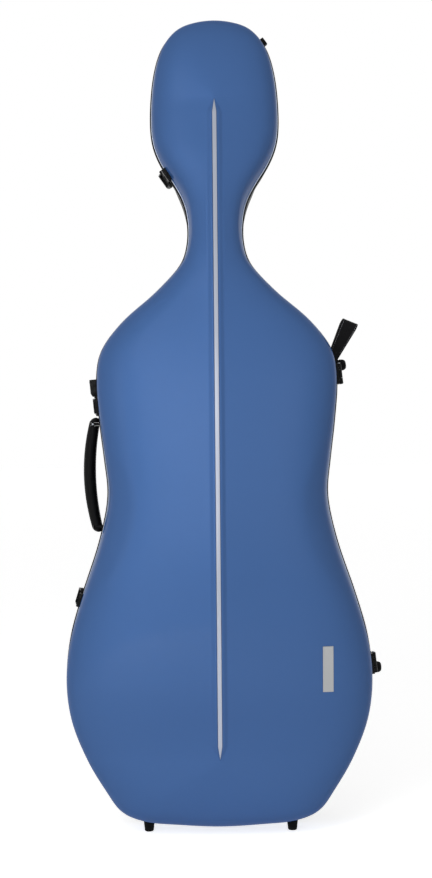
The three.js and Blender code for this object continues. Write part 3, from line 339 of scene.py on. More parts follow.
def joined_loops(loops, ends):
    """Points and faces of loops joined in a row, closed by mirror strips, by flat ends or into a ring."""
    count = len(loops[0])
    faces = []
    for k in range(len(loops) if ends == "ring" else len(loops) - 1):
        here, there = k * count, (k + 1) % len(loops) * count
        for j in range(count):
            side = (j + 1) % count
            faces.append((here + j, here + side, there + side, there + j))
    last = (len(loops) - 1) * count
    if ends == "mirror":
        for start in (0, last):
            for j in range(count // 2):
                quad = (j, j + 1, (count - j - 1) % count, (count - j) % count)
                faces.append(tuple(start + i for i in dict.fromkeys(quad)))
    if ends == "flat":
        faces.append(tuple(range(count))[::-1])
        faces.append(tuple(last + j for j in range(count)))
    return np.vstack(loops), faces


def loft(name, loops, ends, sharp=35):
    return new_object(name, *joined_loops(loops, ends), sharp)


def merged(shapes):
    """Several shapes as one set of points and faces."""
    points, faces, start = [], [], 0
    for some, their in shapes:
        points.append(some)
        faces += [tuple(i + start for i in face) for face in their]
        start += len(some)
    return np.vstack(points), faces


def dress(piece, body, slot, *replaced, finish=None):
    """Gives a piece the material of its slot or its finish, puts it on its body and hides the nodes that it
    stands for.
    """
    piece.data.materials.clear()
    piece.data.materials.append(materials[finish or slot])
    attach(piece, body)
    if replaced:
        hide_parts(*replaced)
    return piece


# Places on the case, and shapes drawn from them. Directions are out of the wall, back and up along it.

BACK = np.array([0.0, 1.0, 0.0])


def place_at(origin, out=(1, 0, 0), up=(0, 0, 1)):
    return np.asarray(origin, float), np.array([out, BACK, up], float)


def wall_place(share, side):
    """A place on the seam's edge, at a share of the height."""
    point, normal = right_edge(height_at(share))
    return place_at((side * point[0], 0, point[1]), (side * normal[0], 0, normal[1]),
                    (-side * normal[1], 0, normal[0]))


def pivot_of(name):
    """Where a joint turns, and its axis."""
    joint = next(j for j in frame["joints"] if j["name"] == name)
    return np.array(joint["pos_m"]) / MM - OFFSET, np.array(joint["axis"])


def joint_place(name, side, out=0.0, depth=0.0):
    """The place of a joint on one side, less the distances that its pivot stands off from there."""
    pivot, axis = pivot_of(name)
    up = axis * np.sign(axis[2])
    outward = np.array([side * up[2], 0, -side * up[0]])
    return place_at(pivot - out * outward - depth * BACK, outward, up)


def box_of(name):
    return (np.array(corner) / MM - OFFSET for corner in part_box(name))


def spots(place, along, outline, level):
    """Points of an outline drawn in depth and out ('up'), out and up ('back') or depth and up ('out')."""
    a, b = np.asarray(outline, float).T
    c = np.full(len(a), float(level))
    local = {"up": (b, a, c), "back": (a, c, b), "out": (c, a, b)}[along]
    return place[0] + np.stack(local, axis=1) @ place[1]


def prism(place, along, outline, low, high):
    return joined_loops([spots(place, along, outline, level) for level in (low, high)], "flat")


def circle(radius, centre=(0, 0), count=36, wave=0.0):
    """A circle, with every third point drawn in by the wave."""
    turn = np.linspace(0, 2 * math.pi, count, endpoint=False)
    reach = radius - wave * (np.arange(count) % 3 == 2)[:, None]
    return np.array(centre) + reach * np.stack([np.cos(turn), np.sin(turn)], axis=1)


def lathe(place, along, profile, centre=(0, 0), count=36):
    """A round shape about an axis, from its radii and levels."""
    return joined_loops([spots(place, along, circle(max(radius, 1e-3), centre, count), level)
                         for radius, level in profile], "flat")


def rod(place, along, radius, low, high, centre=(0, 0)):
    return lathe(place, along, [(radius, low), (radius, high)], centre)


def arc(a, b, radius, start, end, steps):
    turn = np.radians(np.linspace(start, end, steps + 1))
    return [(a + radius * math.cos(t), b + radius * math.sin(t)) for t in turn]


def rounded(corners, radii, steps=5):
    """A closed outline with its corners rounded, by one radius or by one for each corner."""
    corners = np.array(corners, float)
    sides_of = np.stack([np.roll(corners, 1, 0), np.roll(corners, -1, 0)], axis=1) - corners[:, None]
    points = []
    for corner, sides, radius in zip(corners, sides_of, np.broadcast_to(radii, len(corners))):
        if not radius:
            points.append(corner)
            continue
        lengths = np.linalg.norm(sides, axis=1)
        units = sides / lengths[:, None]
        half = math.acos(np.clip(units[0] @ units[1], -1, 1)) / 2
        start, end = corner + units * min(radius / math.tan(half), 0.49 * lengths.min())
        points += [start * (1 - t) ** 2 + 2 * corner * t * (1 - t) + end * t * t
                   for t in np.linspace(0, 1, steps + 1)]
    return points


def rectangle(firsts, seconds, radii=0, steps=5):
    """A rectangle between two limits each way, with its corners rounded."""
    (a, b), (c, d) = firsts, seconds
    return rounded([(a, c), (b, c), (b, d), (a, d)], radii, steps)


def oblong(centre, half_width, half_height, radius):
    (a, b), w, h = centre, half_width, half_height
    return rectangle((a - w, a + w), (b - h, b + h), radius)


def block(place, outs, depths, ups):
    return prism(place, "up", rectangle(depths, outs), *ups)


def tube(path, radius, normal, ring=False, count=12, flat=1.0):
    """A round tube along points that lie near one plane, with flat ends or closed into a ring."""
    path = np.asarray(path, float)
    along = np.roll(path, -1, 0) - np.roll(path, 1, 0) if ring else np.gradient(path, axis=0)
    normal = np.asarray(normal, float) / np.linalg.norm(normal)
    side = np.cross(along, normal)
    side /= np.linalg.norm(side, axis=1, keepdims=True)
    turn = np.linspace(0, 2 * math.pi, count, endpoint=False)
    loops = [spot + radius * (np.outer(np.cos(turn), across) + flat * np.outer(np.sin(turn), normal))
             for spot, across in zip(path, side)]
    return joined_loops(loops, "ring" if ring else "flat")


def stitches(points, normals, long=3.2, gap=1.3, radius=0.4):
    """A row of stitches along points on a surface: short threads that dip in at both ends."""
    lengths = run_lengths(points)
    shapes = []
    for k in range(int(lengths[-1] // (long + gap))):
        at = k * (long + gap) + gap + np.array([0, 0.12, 0.5, 0.88, 1]) * long
        normal = between(at[2], lengths, normals)
        normal /= np.linalg.norm(normal)
        lift = np.array([-0.6, 0.35, 0.6, 0.35, -0.6])[:, None] * radius
        shapes.append(tube(between(at, lengths, points) + lift * normal, radius, normal, count=6, flat=0.8))
    return shapes


def sew(name, rows, body, slot):
    """One piece of rows of stitches."""
    dress(new_object(name, *merged(rows)), body, slot, finish="thread")


# Solids

def settle(piece):
    """Applies a piece's modifiers."""
    seen = piece.evaluated_get(bpy.context.evaluated_depsgraph_get())
    mesh = bpy.data.meshes.new_from_object(seen)
    piece.modifiers.clear()
    old, piece.data = piece.data, mesh
    bpy.data.meshes.remove(old)


def solid(name, shapes, cuts=(), seats=(), within=None, edge=0.35, sharp=32, solver="MANIFOLD"):
    """One closed piece: shapes joined, less the cuts, trimmed to what it sits on or in, its edges eased.

    A shape may be a finished object, which is used up.
    """
    piece = new_object(name, *shapes[0])
    kinds = [("UNION", shapes[1:]), ("DIFFERENCE", cuts), ("INTERSECT", [within] * (within is not None))]
    join, cut, keep = [
        [(kind, shape if isinstance(shape, bpy.types.Object) else new_object("tool", *shape))
         for shape in some] for kind, some in kinds]
    for operation, other in join + cut + [("DIFFERENCE", seat) for seat in seats] + keep:
        made = piece.modifiers.new("combine", "BOOLEAN")
        made.object, made.operation, made.solver = other, operation, solver
    if edge:
        bevel = piece.modifiers.new("edges", "BEVEL")
        bevel.width, bevel.segments = edge * MM, 2
        bevel.limit_method, bevel.angle_limit = "ANGLE", math.radians(BEVEL_LIMIT)
    settle(piece)
    for _, tool in join + cut + keep:
        bpy.data.objects.remove(tool)
    if len(piece.data.polygons) < 6:
        raise ValueError(f"{name} came out empty")
    smooth(piece, sharp)
    return piece


def gathered(name, pieces):
    """Makes one object of finished pieces."""
    work = bmesh.new()
    for piece in pieces:
        work.from_mesh(piece.data)
        bpy.data.objects.remove(piece)
    mesh = bpy.data.meshes.new(name)
    work.to_mesh(mesh)
    work.free()
    made = linked(name, mesh)
    smooth(made)
    return made


seats, screws = {}, {"base": [], "lid": []}


def fit(name, node_name, shapes, cuts=(), body="base", slot="black_fittings", seated=True, **options):
    """A solid that stands for a node, trimmed to the half of the case that carries it."""
    made = solid(name, shapes, cuts, seats.get(body, ()) if seated else (), **options)
    dress(made, body, slot, node_name)


def add_screws(body, place, along, centres, level, radius):
    """Pan heads with a cross recess, set on a face."""
    wide, narrow = radius * 0.58, radius * 0.13
    for centre in centres:
        head = lathe(place, along, [
            (radius, level - 0.6), (radius, level + 0.25), (radius * 0.92, level + 0.62),
            (radius * 0.6, level + 0.95), (radius * 0.2, level + 1.05)], centre, 24)
        cross = [prism(place, along, oblong(centre, *half, 0), level + 0.35, level + 2)
                 for half in ((wide, narrow), (narrow, wide))]
        screws[body].append(solid("screw", [head], cross, edge=0))


def outside(lid):
    """The space that one half of the case fills, grown a little: what outer fittings are trimmed to."""
    grow = 0.05
    skins = skin(lid, -grow, SHELL_START, SEAT_RINGS, RIDGE_HALF if lid else 0)
    body = skins[::-1] + [edge_loop(lid, -grow, 0)]
    proud = (LID_RIM_PROUD if lid else BASE_RIM_PROUD) + grow
    edge = [edge_loop(lid, -proud, level) for level in (0, RIM_HEIGHT + grow)]
    return [loft("seat", [loop[::SEAT_COLUMN_STEP] for loop in loops], "mirror") for loops in (body, edge)]


def room(lid, grow=0.0):
    """The shape of the space inside one lining."""
    inset = SHELL_WALL + LINING_GAP + LINING_THICKNESS - grow
    skins = skin(lid, inset, LINING_START, SEAT_RINGS)
    loops = skins[::-1] + [edge_loop(lid, inset, 0)]
    return joined_loops([loop[::SEAT_COLUMN_STEP] for loop in loops], "mirror")


# Materials

materials = {}


def feed(tree, sockets, inputs):
    """Sets inputs to values, or links them to other nodes' outputs."""
    for key, value in inputs.items():
        if isinstance(value, bpy.types.NodeSocket):
            tree.links.new(value, sockets[key])
        else:
            sockets[key].default_value = value


def shader(name):
    """Makes a material and gives its node tree and its main inputs."""
    made = materials[name] = bpy.data.materials.new(name)
    made.use_nodes = True
    return made.node_tree, made.node_tree.nodes["Principled BSDF"].inputs


def node(tree, kind, inputs=None, **settings):
    made = tree.nodes.new(kind)
    for key, value in settings.items():
        setattr(made, key, value)
    feed(tree, made.inputs, inputs or {})
    return made


def position(tree, stretch=(1, 1, 1)):
    """Object position in metres, stretched along the axes."""
    place = node(tree, "ShaderNodeTexCoord").outputs["Object"]
    return node(tree, "ShaderNodeMapping", {"Vector": place, "Scale": stretch}).outputs[0]


def noise(tree, scale, detail=3.0, stretch=(1, 1, 1)):
    return node(tree, "ShaderNodeTexNoise", {
        "Vector": position(tree, stretch), "Scale": scale, "Detail": detail}).outputs["Fac"]


def spread(tree, value, low=0.0, high=1.0, start=0.3, end=0.7):
    """Maps a noise value to a range."""
    return node(tree, "ShaderNodeMapRange", {
        "Value": value, "From Min": start, "From Max": end, "To Min": low, "To Max": high}).outputs[0]


def maths(tree, operation, first, second):
    return node(tree, "ShaderNodeMath", {0: first, 1: second}, operation=operation).outputs[0]


def tinted(tree, value, dark, light):
    """A colour between two, by a value from 0 to 1. Either may itself be a colour output."""
    ends = [end if isinstance(end, bpy.types.NodeSocket) else (*end, 1) for end in (dark, light)]
    inputs = {"Factor": value, 6: ends[0], 7: ends[1]}
    return node(tree, "ShaderNodeMix", inputs, data_type="RGBA").outputs[2]


def varied(tree, value, colour, dark, light):
    """A colour that goes from darker to lighter, by a value from 0 to 1."""
    return tinted(tree, value, *[[c * factor for c in colour] for factor in (dark, light)])


def bumped(tree, height, distance, strength=1.0, **under):
    inputs = {"Height": height, "Distance": distance, "Strength": strength} | under
    return node(tree, "ShaderNodeBump", inputs).outputs[0]


def lighten_worn_and_lit_edges(tree, colour, light, reach=0.06):
    """Rubs a colour lighter along the outer edges, unevenly: partly wear, partly a painted highlight on the
    edges.
    """
    edge = node(tree, "ShaderNodeNewGeometry").outputs["Pointiness"]
    worn_and_lit_edge_mask = spread(tree, edge, 0.0, 1.0, 0.53, 0.53 + reach)
    patch = spread(tree, noise(tree, 110.0, 4.0), 0.0, 1.0, 0.45, 0.65)
    return tinted(tree, maths(tree, "MULTIPLY", worn_and_lit_edge_mask, patch), colour, light)


def linear(*channels):
    """Linear colour of an sRGB colour given from 0 to 255."""
    return tuple((c / 255 / 12.92 if c <= 10 else ((c / 255 + 0.055) / 1.055) ** 2.4) for c in channels)


DARK_SPECULAR = 0.1


def blue_gloss():
    """A blue layer with a little metal in it, under a thin clear coat."""
    tree, out = shader("blue_gloss")
    feed(tree, out, {
        "Base Color": varied(tree, spread(tree, noise(tree, 3.0, 2.0)), (0.05, 0.119, 0.3), 0.97, 1.03),
        "Roughness": spread(tree, noise(tree, 90.0), 0.4, 0.46), "Metallic": 0.35, "Specular IOR Level": 0.0,
        "Specular Tint": (0.25, 0.42, 0.8, 1), "Coat Weight": 0.22, "Coat Roughness": 0.08,
        "Coat Normal": bumped(tree, noise(tree, 220.0, 1.0), 0.00002)})


def plain(name, colour, roughness, metallic=0.0, grain=900.0, depth=0.00002, stretch=(1, 1, 1), worn_and_lit_edge_level=0.0):
    """A rigid finish with a fine grain, slight changes of colour and roughness, and rubbed edges that are
    partly wear and partly a painted highlight.
    """
    tree, out = shader(name)
    base = varied(tree, spread(tree, noise(tree, 14.0, 3.0, stretch)), colour, 0.85, 1.15)
    rough = noise(tree, 60.0, 4.0, stretch)
    feed(tree, out, {
        # Lighter edges: partly wear, partly a painted highlight
        "Base Color": lighten_worn_and_lit_edges(tree, base, linear(worn_and_lit_edge_level, worn_and_lit_edge_level, worn_and_lit_edge_level)) if worn_and_lit_edge_level else base,
        "Roughness": spread(tree, rough, roughness * 0.85, roughness * 1.15),
        "Metallic": metallic, "Specular IOR Level": 0.5 if metallic else DARK_SPECULAR,
        "Normal": bumped(tree, noise(tree, grain, 2.0, stretch), depth)})


def leather(name, colour):
    """Pebbled leather: rounded grains between fine creases, and a low sheen."""
    tree, out = shader(name)
    grains = node(tree, "ShaderNodeTexVoronoi", {
        "Vector": position(tree), "Scale": 650.0, "Smoothness": 0.6},
        feature="SMOOTH_F1").outputs["Distance"]
    crease = noise(tree, 90.0, 5.0)
    base = varied(tree, spread(tree, crease), colour, 0.75, 1.35)
    folds = bumped(tree, crease, 0.0006, 0.6)
    feed(tree, out, {
        # Lighter edges: partly wear, partly a painted highlight
        "Base Color": lighten_worn_and_lit_edges(tree, base, linear(40, 39, 38), 0.1),
        "Roughness": spread(tree, crease, 0.42, 0.6), "Specular IOR Level": DARK_SPECULAR,
        "Normal": bumped(tree, grains, -0.00012, 0.8, Normal=folds)})


def woven(name, colour, pitch, depth):
    """A plain weave: two sets of threads that pass over and under each other."""
    tree, out = shader(name)
    waves = [node(tree, "ShaderNodeTexWave", {
        "Vector": position(tree), "Scale": 2 * math.pi / (20 * pitch), "Distortion": 0.4,
        "Detail Scale": 3.0}, bands_direction=direction).outputs["Fac"] for direction in ("X", "Z")]
    gaps = [maths(tree, "SUBTRACT", 1.0, wave) for wave in waves]
    threads = maths(tree, "MAXIMUM", maths(tree, "MULTIPLY", *waves), maths(tree, "MULTIPLY", *gaps))
    feed(tree, out, {
        "Base Color": varied(tree, threads, colour, 0.6, 1.4),
        "Roughness": spread(tree, noise(tree, 300.0), 0.75, 0.9),
        "Sheen Weight": 0.25, "Sheen Roughness": 0.4, "Normal": bumped(tree, threads, depth)})


def pile(name, colour):
    """Short plush: fine upright pile with brushed patches and a soft sheen."""
    tree, out = shader(name)
    brushed = noise(tree, 24.0, 4.0)
    hairs = noise(tree, 1500.0, 2.0, (1, 1, 0.45))
    base = varied(tree, spread(tree, brushed), colour, 0.7, 1.35)
    deep = bumped(tree, brushed, 0.0012, 0.7)
    feed(tree, out, {
        "Base Color": tinted(tree, spread(tree, hairs), [c * 0.55 for c in colour], base),
        "Roughness": 0.95, "Specular IOR Level": 0.15, "Sheen Weight": 0.6, "Sheen Roughness": 0.35,
        "Normal": bumped(tree, hairs, 0.0004, 0.8, Normal=deep)})


blue_gloss()
# The last number of some finishes is the grey of their lighter edges: partly wear, partly a painted
# highlight
plain("black_shell", linear(13, 13, 14), 0.4, grain=1100.0, depth=0.00006, worn_and_lit_edge_level=24)
plain("rim_metal", linear(190, 198, 214), 0.34, 1.0, depth=0.00001)
plain("strip_metal", linear(166, 171, 184), 0.34, 1.0, stretch=(1, 1, 0.03), grain=1600.0)
plain("plate_metal", linear(162, 163, 164), 0.42, 1.0, stretch=(1, 1, 0.08), grain=2200.0)
plain("rubber", linear(9, 9, 10), 0.72, grain=1800.0, depth=0.00005, worn_and_lit_edge_level=20)
plain("black_fittings", linear(9, 9, 10), 0.36, grain=1500.0, depth=0.00004, worn_and_lit_edge_level=30)
plain("steel", linear(170, 174, 180), 0.28, 1.0, stretch=(1, 1, 0.2))
plain("moulded", linear(24, 24, 26), 0.5, grain=1500.0, worn_and_lit_edge_level=60)
leather("leather", linear(10, 10, 11))
woven("thread", linear(120, 120, 122), 0.0006, 0.00005)
woven("webbing", linear(34, 34, 38), 0.0016, 0.0003)
pile("plush", linear(40, 42, 50))


# Shells, linings, rims, strip and plate

def make_shells():
    for lid, name, body, slot, middle, seat in (
            (True, "lid_gloss_shell", "lid", "blue_gloss", ridge()[::-1], RIDGE_HALF),
            (False, "base_black_shell", "base", "black_shell", [], 0)):
        outer = skin(lid, 0, SHELL_START, OUTER_RINGS, seat)
        inner = skin(lid, SHELL_WALL, SHELL_START, INNER_RINGS)
        dress(loft(name, middle + outer[::-1] + inner, "mirror", 40), body, slot, f"{body}_shell")


def make_linings():
    near = SHELL_WALL + LINING_GAP
    far = near + LINING_THICKNESS
    roll, cord, cord_inset = 3.2, 1.7, far - 3.4
    for lid, body in ((False, "base"), (True, "lid")):
        outer = skin(lid, near, LINING_START, 16)
        inner = skin(lid, far, LINING_START, 26)
        edge = [edge_loop(lid, near + LINING_THICKNESS * t, LINING_START - roll * math.sin(math.pi * t))
                for t in np.linspace(0, 1, 9)[1:-1]]
        loops = [loop[::2] for loop in outer[::-1] + edge + inner]
        dress(loft(f"{body}_plush_lining", loops, "mirror", 60), body, "plush", f"{body}_lining")
        path = edge_loop(lid, cord_inset, LINING_START - roll * 0.75)[::2]
        dress(new_object(f"{body}_lining_cord", *tube(path, cord, BACK, ring=True), 60), body, "webbing")


def make_rims():
    """The edge profiles and the seal, from their insets and levels. The base's has a tongue."""
    c, base_out, lid_out, tongue = 0.5, -BASE_RIM_PROUD, -LID_RIM_PROUD, -3.2
    base_profile = [
        (base_out + c, 0), (1.8, 0), (1.8, tongue + 0.4), (2.2, tongue), (3.4, tongue), (3.8, tongue + 0.4),
        (SHELL_WALL, RIM_HEIGHT), (base_out + c, RIM_HEIGHT), (base_out, RIM_HEIGHT - c), (base_out, c)]
    lid_profile = [
        (lid_out + c, SEAT_GAP), (lid_out, SEAT_GAP + c), (lid_out, RIM_HEIGHT - c),
        (lid_out + c, RIM_HEIGHT), (SHELL_WALL, RIM_HEIGHT), (SHELL_WALL, 5.8), (1.4, 5.8), (1.4, SEAT_GAP)]
    for name, lid, profile, body, slot, replaced in (
            ("base_edge_rim", False, base_profile, "base", "black_fittings", "base_rim"),
            ("lid_edge_rim", True, lid_profile, "lid", "rim_metal", "lid_rim"),
            ("edge_seal", True, [(1.7, 3.5), (3.8, 3.5), (3.8, 5.5), (1.7, 5.5)], "lid", "rubber",
             "rim_seal")):
        ring = loft(name, [edge_loop(lid, inset, level) for inset, level in profile], "ring", 30)
        dress(ring, body, slot, replaced)


def make_strip():
    rows = np.unique(np.concatenate([
        np.linspace(POLE_BOTTOM, POLE_BOTTOM + STRIP_TAPER, 9), np.linspace(POLE_BOTTOM, POLE_TOP, 170),
        np.linspace(POLE_TOP - STRIP_TAPER, POLE_TOP, 9)]))
    sections = []
    for z in rows[1:-1]:
        full, depth = float(taper(z)), float(crown(True, z))
        half = STRIP_HALF * max(full - SEAT_GAP / STRIP_HALF, 0.02)
        floor = depth + GROOVE_FLOOR * full + SEAT_GAP * 0.5
        top = max(depth + RIDGE_HEIGHT * full + STRIP_PROUD, floor + 0.2)
        bend = min(0.5, half * 0.4)
        outline_points = [(-half, floor), (half, floor), (half, top - 0.55), (half - bend, top - 0.2),
                          (0, top), (bend - half, top - 0.2), (-half, top - 0.55)]
        sections.append(np.array([[x, -level, z] for x, level in outline_points]))
    dress(loft("middle_strip", sections, "flat", 30), "lid", "strip_metal", "centre_strip")


def make_plate():
    centre_x, centre_z = 0.6866 * HALF_WIDTH, height_at(0.2008)
    width, height, thick, corner = 17, 73, 1.2, 0.35
    sections = []
    for level, inset in [(-2.0, 0), (thick + SEAT_GAP - corner, 0), (thick + SEAT_GAP, corner)]:
        w, h = width / 2 - inset, height / 2 - inset
        corners = np.array([(-w, -h), (w, -h), (w, h), (-w, h), (-w, -h)])
        loop = [corners[k] + (corners[k + 1] - corners[k]) * t
                for k, steps in enumerate((8, 24, 8, 24)) for t in np.arange(steps) / steps]
        sections.append(np.array([lid_surface(centre_x + x, centre_z + z, level) for x, z in loop]))
    dress(loft("bare_plate", sections, "flat", 30), "lid", "plate_metal", "name_plate")


# Feet, side feet and bumper

def make_feet():
    profile = [
        (2.4, 1.8), (2.8, 0.3), (4.6, 0), (6.1, 0.3), (7.0, 1.1), (7.5, 2.6), (8.1, 8), (7.85, 8.5),
        (8.15, 9), (9.0, 16), (9.0, 48)]
    for body, y in (("lid", -42), ("base", 58)):
        for side, sign in (("left", -1), ("right", 1)):
            shape = lathe(place_at((sign * 0.4671 * HALF_WIDTH, y, 0)), "up", profile)
            fit(f"{body}_stand_{side}", f"foot_{body}_{side}", [shape], (), body, "rubber", edge=0)


def make_side_feet():
    depth = 35
    profile = [
        (10, ROOT), (10, 3), (9.2, 3.6), (9.2, 4.6), (9.9, 5.2), (9.7, 10), (9.0, 10.6), (9.0, 11.6),
        (9.6, 12.2), (9.1, 17), (8.2, 19.4), (6.4, 21.4), (4.6, 22), (3.6, 21.7), (3.0, 20.4), (0, 20.2)]
    for name, share in (("upper", 0.5689), ("lower", 0.1849)):
        shape = lathe(wall_place(share, 1), "out", profile, (depth, 0), 48)
        fit(f"side_stand_{name}", f"side_foot_{name}", [shape], slot="rubber", edge=0)


def make_bumper():
    place = wall_place(0.9757, 1)
    near, far, proud, half = 8.3, 22.3, 11, 6.2
    shape = prism(place, "up", rectangle((near, far), (ROOT, proud), [0, 0, 3, 3]), -half, half)
    fit("bumper", "head_bumper", [shape], slot="rubber", edge=0.8)
    add_screws("base", place, "out", [((near + far) / 2, 0)], proud - 0.3, 2.2)


# Hinges

def make_hinge(name, share):
    origin, axes = joint_place("lid_hinge", 1)
    place = origin + axes[2] * (height_at(share) - origin[2]) / axes[2][2], axes
    half, middle, radius, bore = 17, 6.5, 4, 1.7
    inner, outer, depth = -13.4, -2.4, 18
    knuckles = [lathe(place, "up", [
        (2.9, side * half), (3.7, side * (half - 0.6)), (radius, side * (half - 1.6)),
        (radius, side * (middle + RUN_GAP))]) for side in (-1, 1)]
    swept = [rod(place, "up", radius + RUN_GAP, *sorted((side * (half + RUN_GAP), side * middle)))
             for side in (-1, 1)]
    swept_middle = rod(place, "up", radius + RUN_GAP, -middle - RUN_GAP, middle + RUN_GAP)
    hole = rod(place, "up", bore, -half - 3, half + 3)
    for body, sign, rolls, gaps in (
            ("base", 1, knuckles, [swept_middle]),
            ("lid", -1, [rod(place, "up", radius, -middle, middle)], swept)):
        sheet = rectangle((sign * RUN_GAP, sign * depth), (-half, half), [0, 4, 4, 0])
        leaf = solid("leaf", [prism(place, "out", sheet, inner, outer)], gaps,
                     seats["base"] + seats["lid"], edge=0)
        fit(f"hinge_{name}_{body}", f"hinge_{name}_{body}_leaf", rolls + [leaf], [hole], body,
            seated=False, edge=0.3)
        add_screws(body, place, "out", [(sign * 11.5, -10), (sign * 11.5, 10)], outer - 0.3, 2.4)
    top = half + SEAT_GAP
    fit(f"hinge_{name}_axle", f"hinge_{name}_pin", [
        rod(place, "up", 1.4, -half - 0.4, top + 0.5),
        lathe(place, "up", [(2.4, top), (2.4, top + 0.7), (1.9, top + 1.2), (0.9, top + 1.5)])],
        slot="steel", seated=False, edge=0.15)


# Draw latches and the lock

LATCH_HALF = 16
EAR_INNER = 13.8
FLANGE_OUTER = 13.4
FLANGE_INNER = 11.1
HOOK_HALF = 10.7
PIVOT_OUT = 5.2
PIVOT_DEPTH = 18
HOOK_DEPTH = 25.5


def make_latch(name):
    place = joint_place(f"latch_{name}_swing", -1, PIVOT_OUT, PIVOT_DEPTH)
    pivot, hook_pivot = (PIVOT_DEPTH, PIVOT_OUT), (HOOK_DEPTH, PIVOT_OUT)
    lever, claw = f"latch_{name}_lever", f"latch_{name}_hook"
    plate = [prism(place, "out", oblong((27.5, 0), 16.5, LATCH_HALF, 4), ROOT, 2)]
    for side in (-1, 1):
        ear = rectangle((13.5, 22.5), (ROOT, 8.2), [0, 0, 4, 4])
        plate.append(prism(place, "up", ear, *sorted((side * EAR_INNER, side * LATCH_HALF))))
        plate.append(lathe(place, "up", [(radius, side * level) for radius, level in (
            (1.5, FLANGE_INNER + 0.2), (1.5, LATCH_HALF - 0.1), (2.6, LATCH_HALF - 0.1),
            (2.5, LATCH_HALF + 0.25), (1.4, LATCH_HALF + 0.55))], pivot, 28))
    fit(f"latch_{name}_base_plate", f"latch_{name}_plate", plate)
    add_screws("base", place, "out", [(36.5, -7), (36.5, 7)], 1.8, 2.2)

    outline = rounded(arc(*pivot, 2.9, 270, 90, 14) + [
        (31.5, 11.9), (33.4, 12.4), (38.9, 11.9), (46.5, 5.2), (46.5, 3.1), (44.6, 2.6), (HOOK_DEPTH, 2.6)],
        [0] * 15 + [2.5, 1.5, 3, 1.2, 0.6, 0.6, 0])
    below, top, inside = ROOT - FLANGE_OUTER, 12.4, (-FLANGE_INNER, FLANGE_INNER)
    cuts = [
        block(place, (ROOT, top + 6), (0, 32.1), inside), block(place, (ROOT, top - 1.9), (0, 37), inside),
        prism(place, "back", [(top - 3, below), (top + 6, below), (top + 6, 9 - FLANGE_OUTER),
                              (top - 3, -FLANGE_OUTER)], 0, 52)]
    cuts += [rod(place, "up", 1.85, -LATCH_HALF, LATCH_HALF, centre) for centre in (pivot, hook_pivot)]
    groove = oblong((46.8, 7.2), 0.9, 0.45, 0.3)
    cuts += [prism(place, "up", groove, -9 + 3 * k, -8 + 3 * k) for k in range(7)]
    channel = prism(place, "up", outline, -FLANGE_OUTER, FLANGE_OUTER)
    fit(f"latch_{name}_handle", lever, [channel], cuts, lever)

    nose, reach, waist = -20.7, -18.5, HOOK_HALF - 2
    edge = [(nose, -HOOK_HALF), (-8, -HOOK_HALF), (-3, -waist), (12, -waist), (17, -HOOK_HALF),
            (HOOK_DEPTH, -HOOK_HALF)]
    radii = [1, 3, 3, 3, 3, 0]
    hook = [
        prism(place, "out", rounded(edge + [(a, -b) for a, b in edge[::-1]], radii + radii[::-1]), 4.3, 6.1),
        rod(place, "up", 2.3, -HOOK_HALF, HOOK_HALF, hook_pivot),
        block(place, (2.1, 6.1), (nose, reach), (0.4 - HOOK_HALF, HOOK_HALF - 0.4)),
        rod(place, "up", 1.5, -13.2, 13.2, hook_pivot)]
    slot = prism(place, "out", oblong((4, 0), 9, 2.6, 2.6), 2, 8)
    fit(f"latch_{name}_claw", claw, hook, [slot], claw, edge=0.3)

    keeper = [
        prism(place, "out", oblong((-17.3, 0), 6, 11, 2), ROOT, 1.7),
        prism(place, "back", rectangle((ROOT, 3.9), (0.3 - HOOK_HALF, HOOK_HALF - 0.3), [0, 1.2, 1.2, 0]),
              -18.1, -15.5)]
    fit(f"latch_{name}_catch", f"latch_{name}_keeper", keeper, body="lid", edge=0.3)


def make_lock():
    place = joint_place("latch_middle_swing", -1, PIVOT_OUT, PIVOT_DEPTH)
    low, high, proud, chamfer = 16.8, 44.8, 13, 5
    centre, pitch, radius, thick = 25, 6.4, 6, 5
    shaft, slide, middle = (centre, 8.1), (centre, high - 4), (low + high) / 2
    outline = rounded([(10, ROOT), (40, ROOT), (40, proud - chamfer), (40 - chamfer, proud), (12.5, proud),
                       (10, 10.5)], [0, 0, 1.5, 1.5, 1, 1])
    slope = prism(place, "back", [(10.5, low - 6), (19, low - 6), (19, low + 17), (10.5, low)], 0, 46)
    levels = [middle + (k - 1) * pitch for k in range(3)]
    gaps = [rod(place, "up", radius + RUN_GAP, up - thick / 2 - SEAT_GAP, up + thick / 2 + SEAT_GAP, shaft)
            for up in levels]
    body = solid("lock_case", [prism(place, "up", outline, low, high)], [slope, *gaps], seats["base"],
                 edge=0.4)
    axle = new_object("lock_axle", *rod(place, "up", 1.5, middle - 1.5 * pitch, middle + 1.5 * pitch, shaft))
    dress(gathered("lock_housing", [body, axle]), "base", "black_fittings", "lock_body")
    nub = [prism(place, "out", oblong(slide, 6, 1.6, 1.5), proud - 1, proud + 1.1)]
    ribs = [prism(place, "out", oblong((slide[0] + 2.4 * k, slide[1]), 0.35, 3, 0), proud + 0.6, proud + 3)
            for k in range(-2, 3)]
    dress(solid("lock_slide", nub, ribs, edge=0.2), "base", "steel")
    for k, up in enumerate(levels, 1):
        fit(f"lock_dial_{k}", f"lock_wheel_{k}", [
            prism(place, "up", circle(radius, shaft, 60, 0.4), up - thick / 2 + 0.5, up + thick / 2 - 0.5),
            rod(place, "up", radius - 0.7, up - thick / 2, up + thick / 2, shaft)],
            [rod(place, "up", 1.9, low, high, shaft)], f"lock_wheel_{k}", "steel", edge=0.1)


# Handle

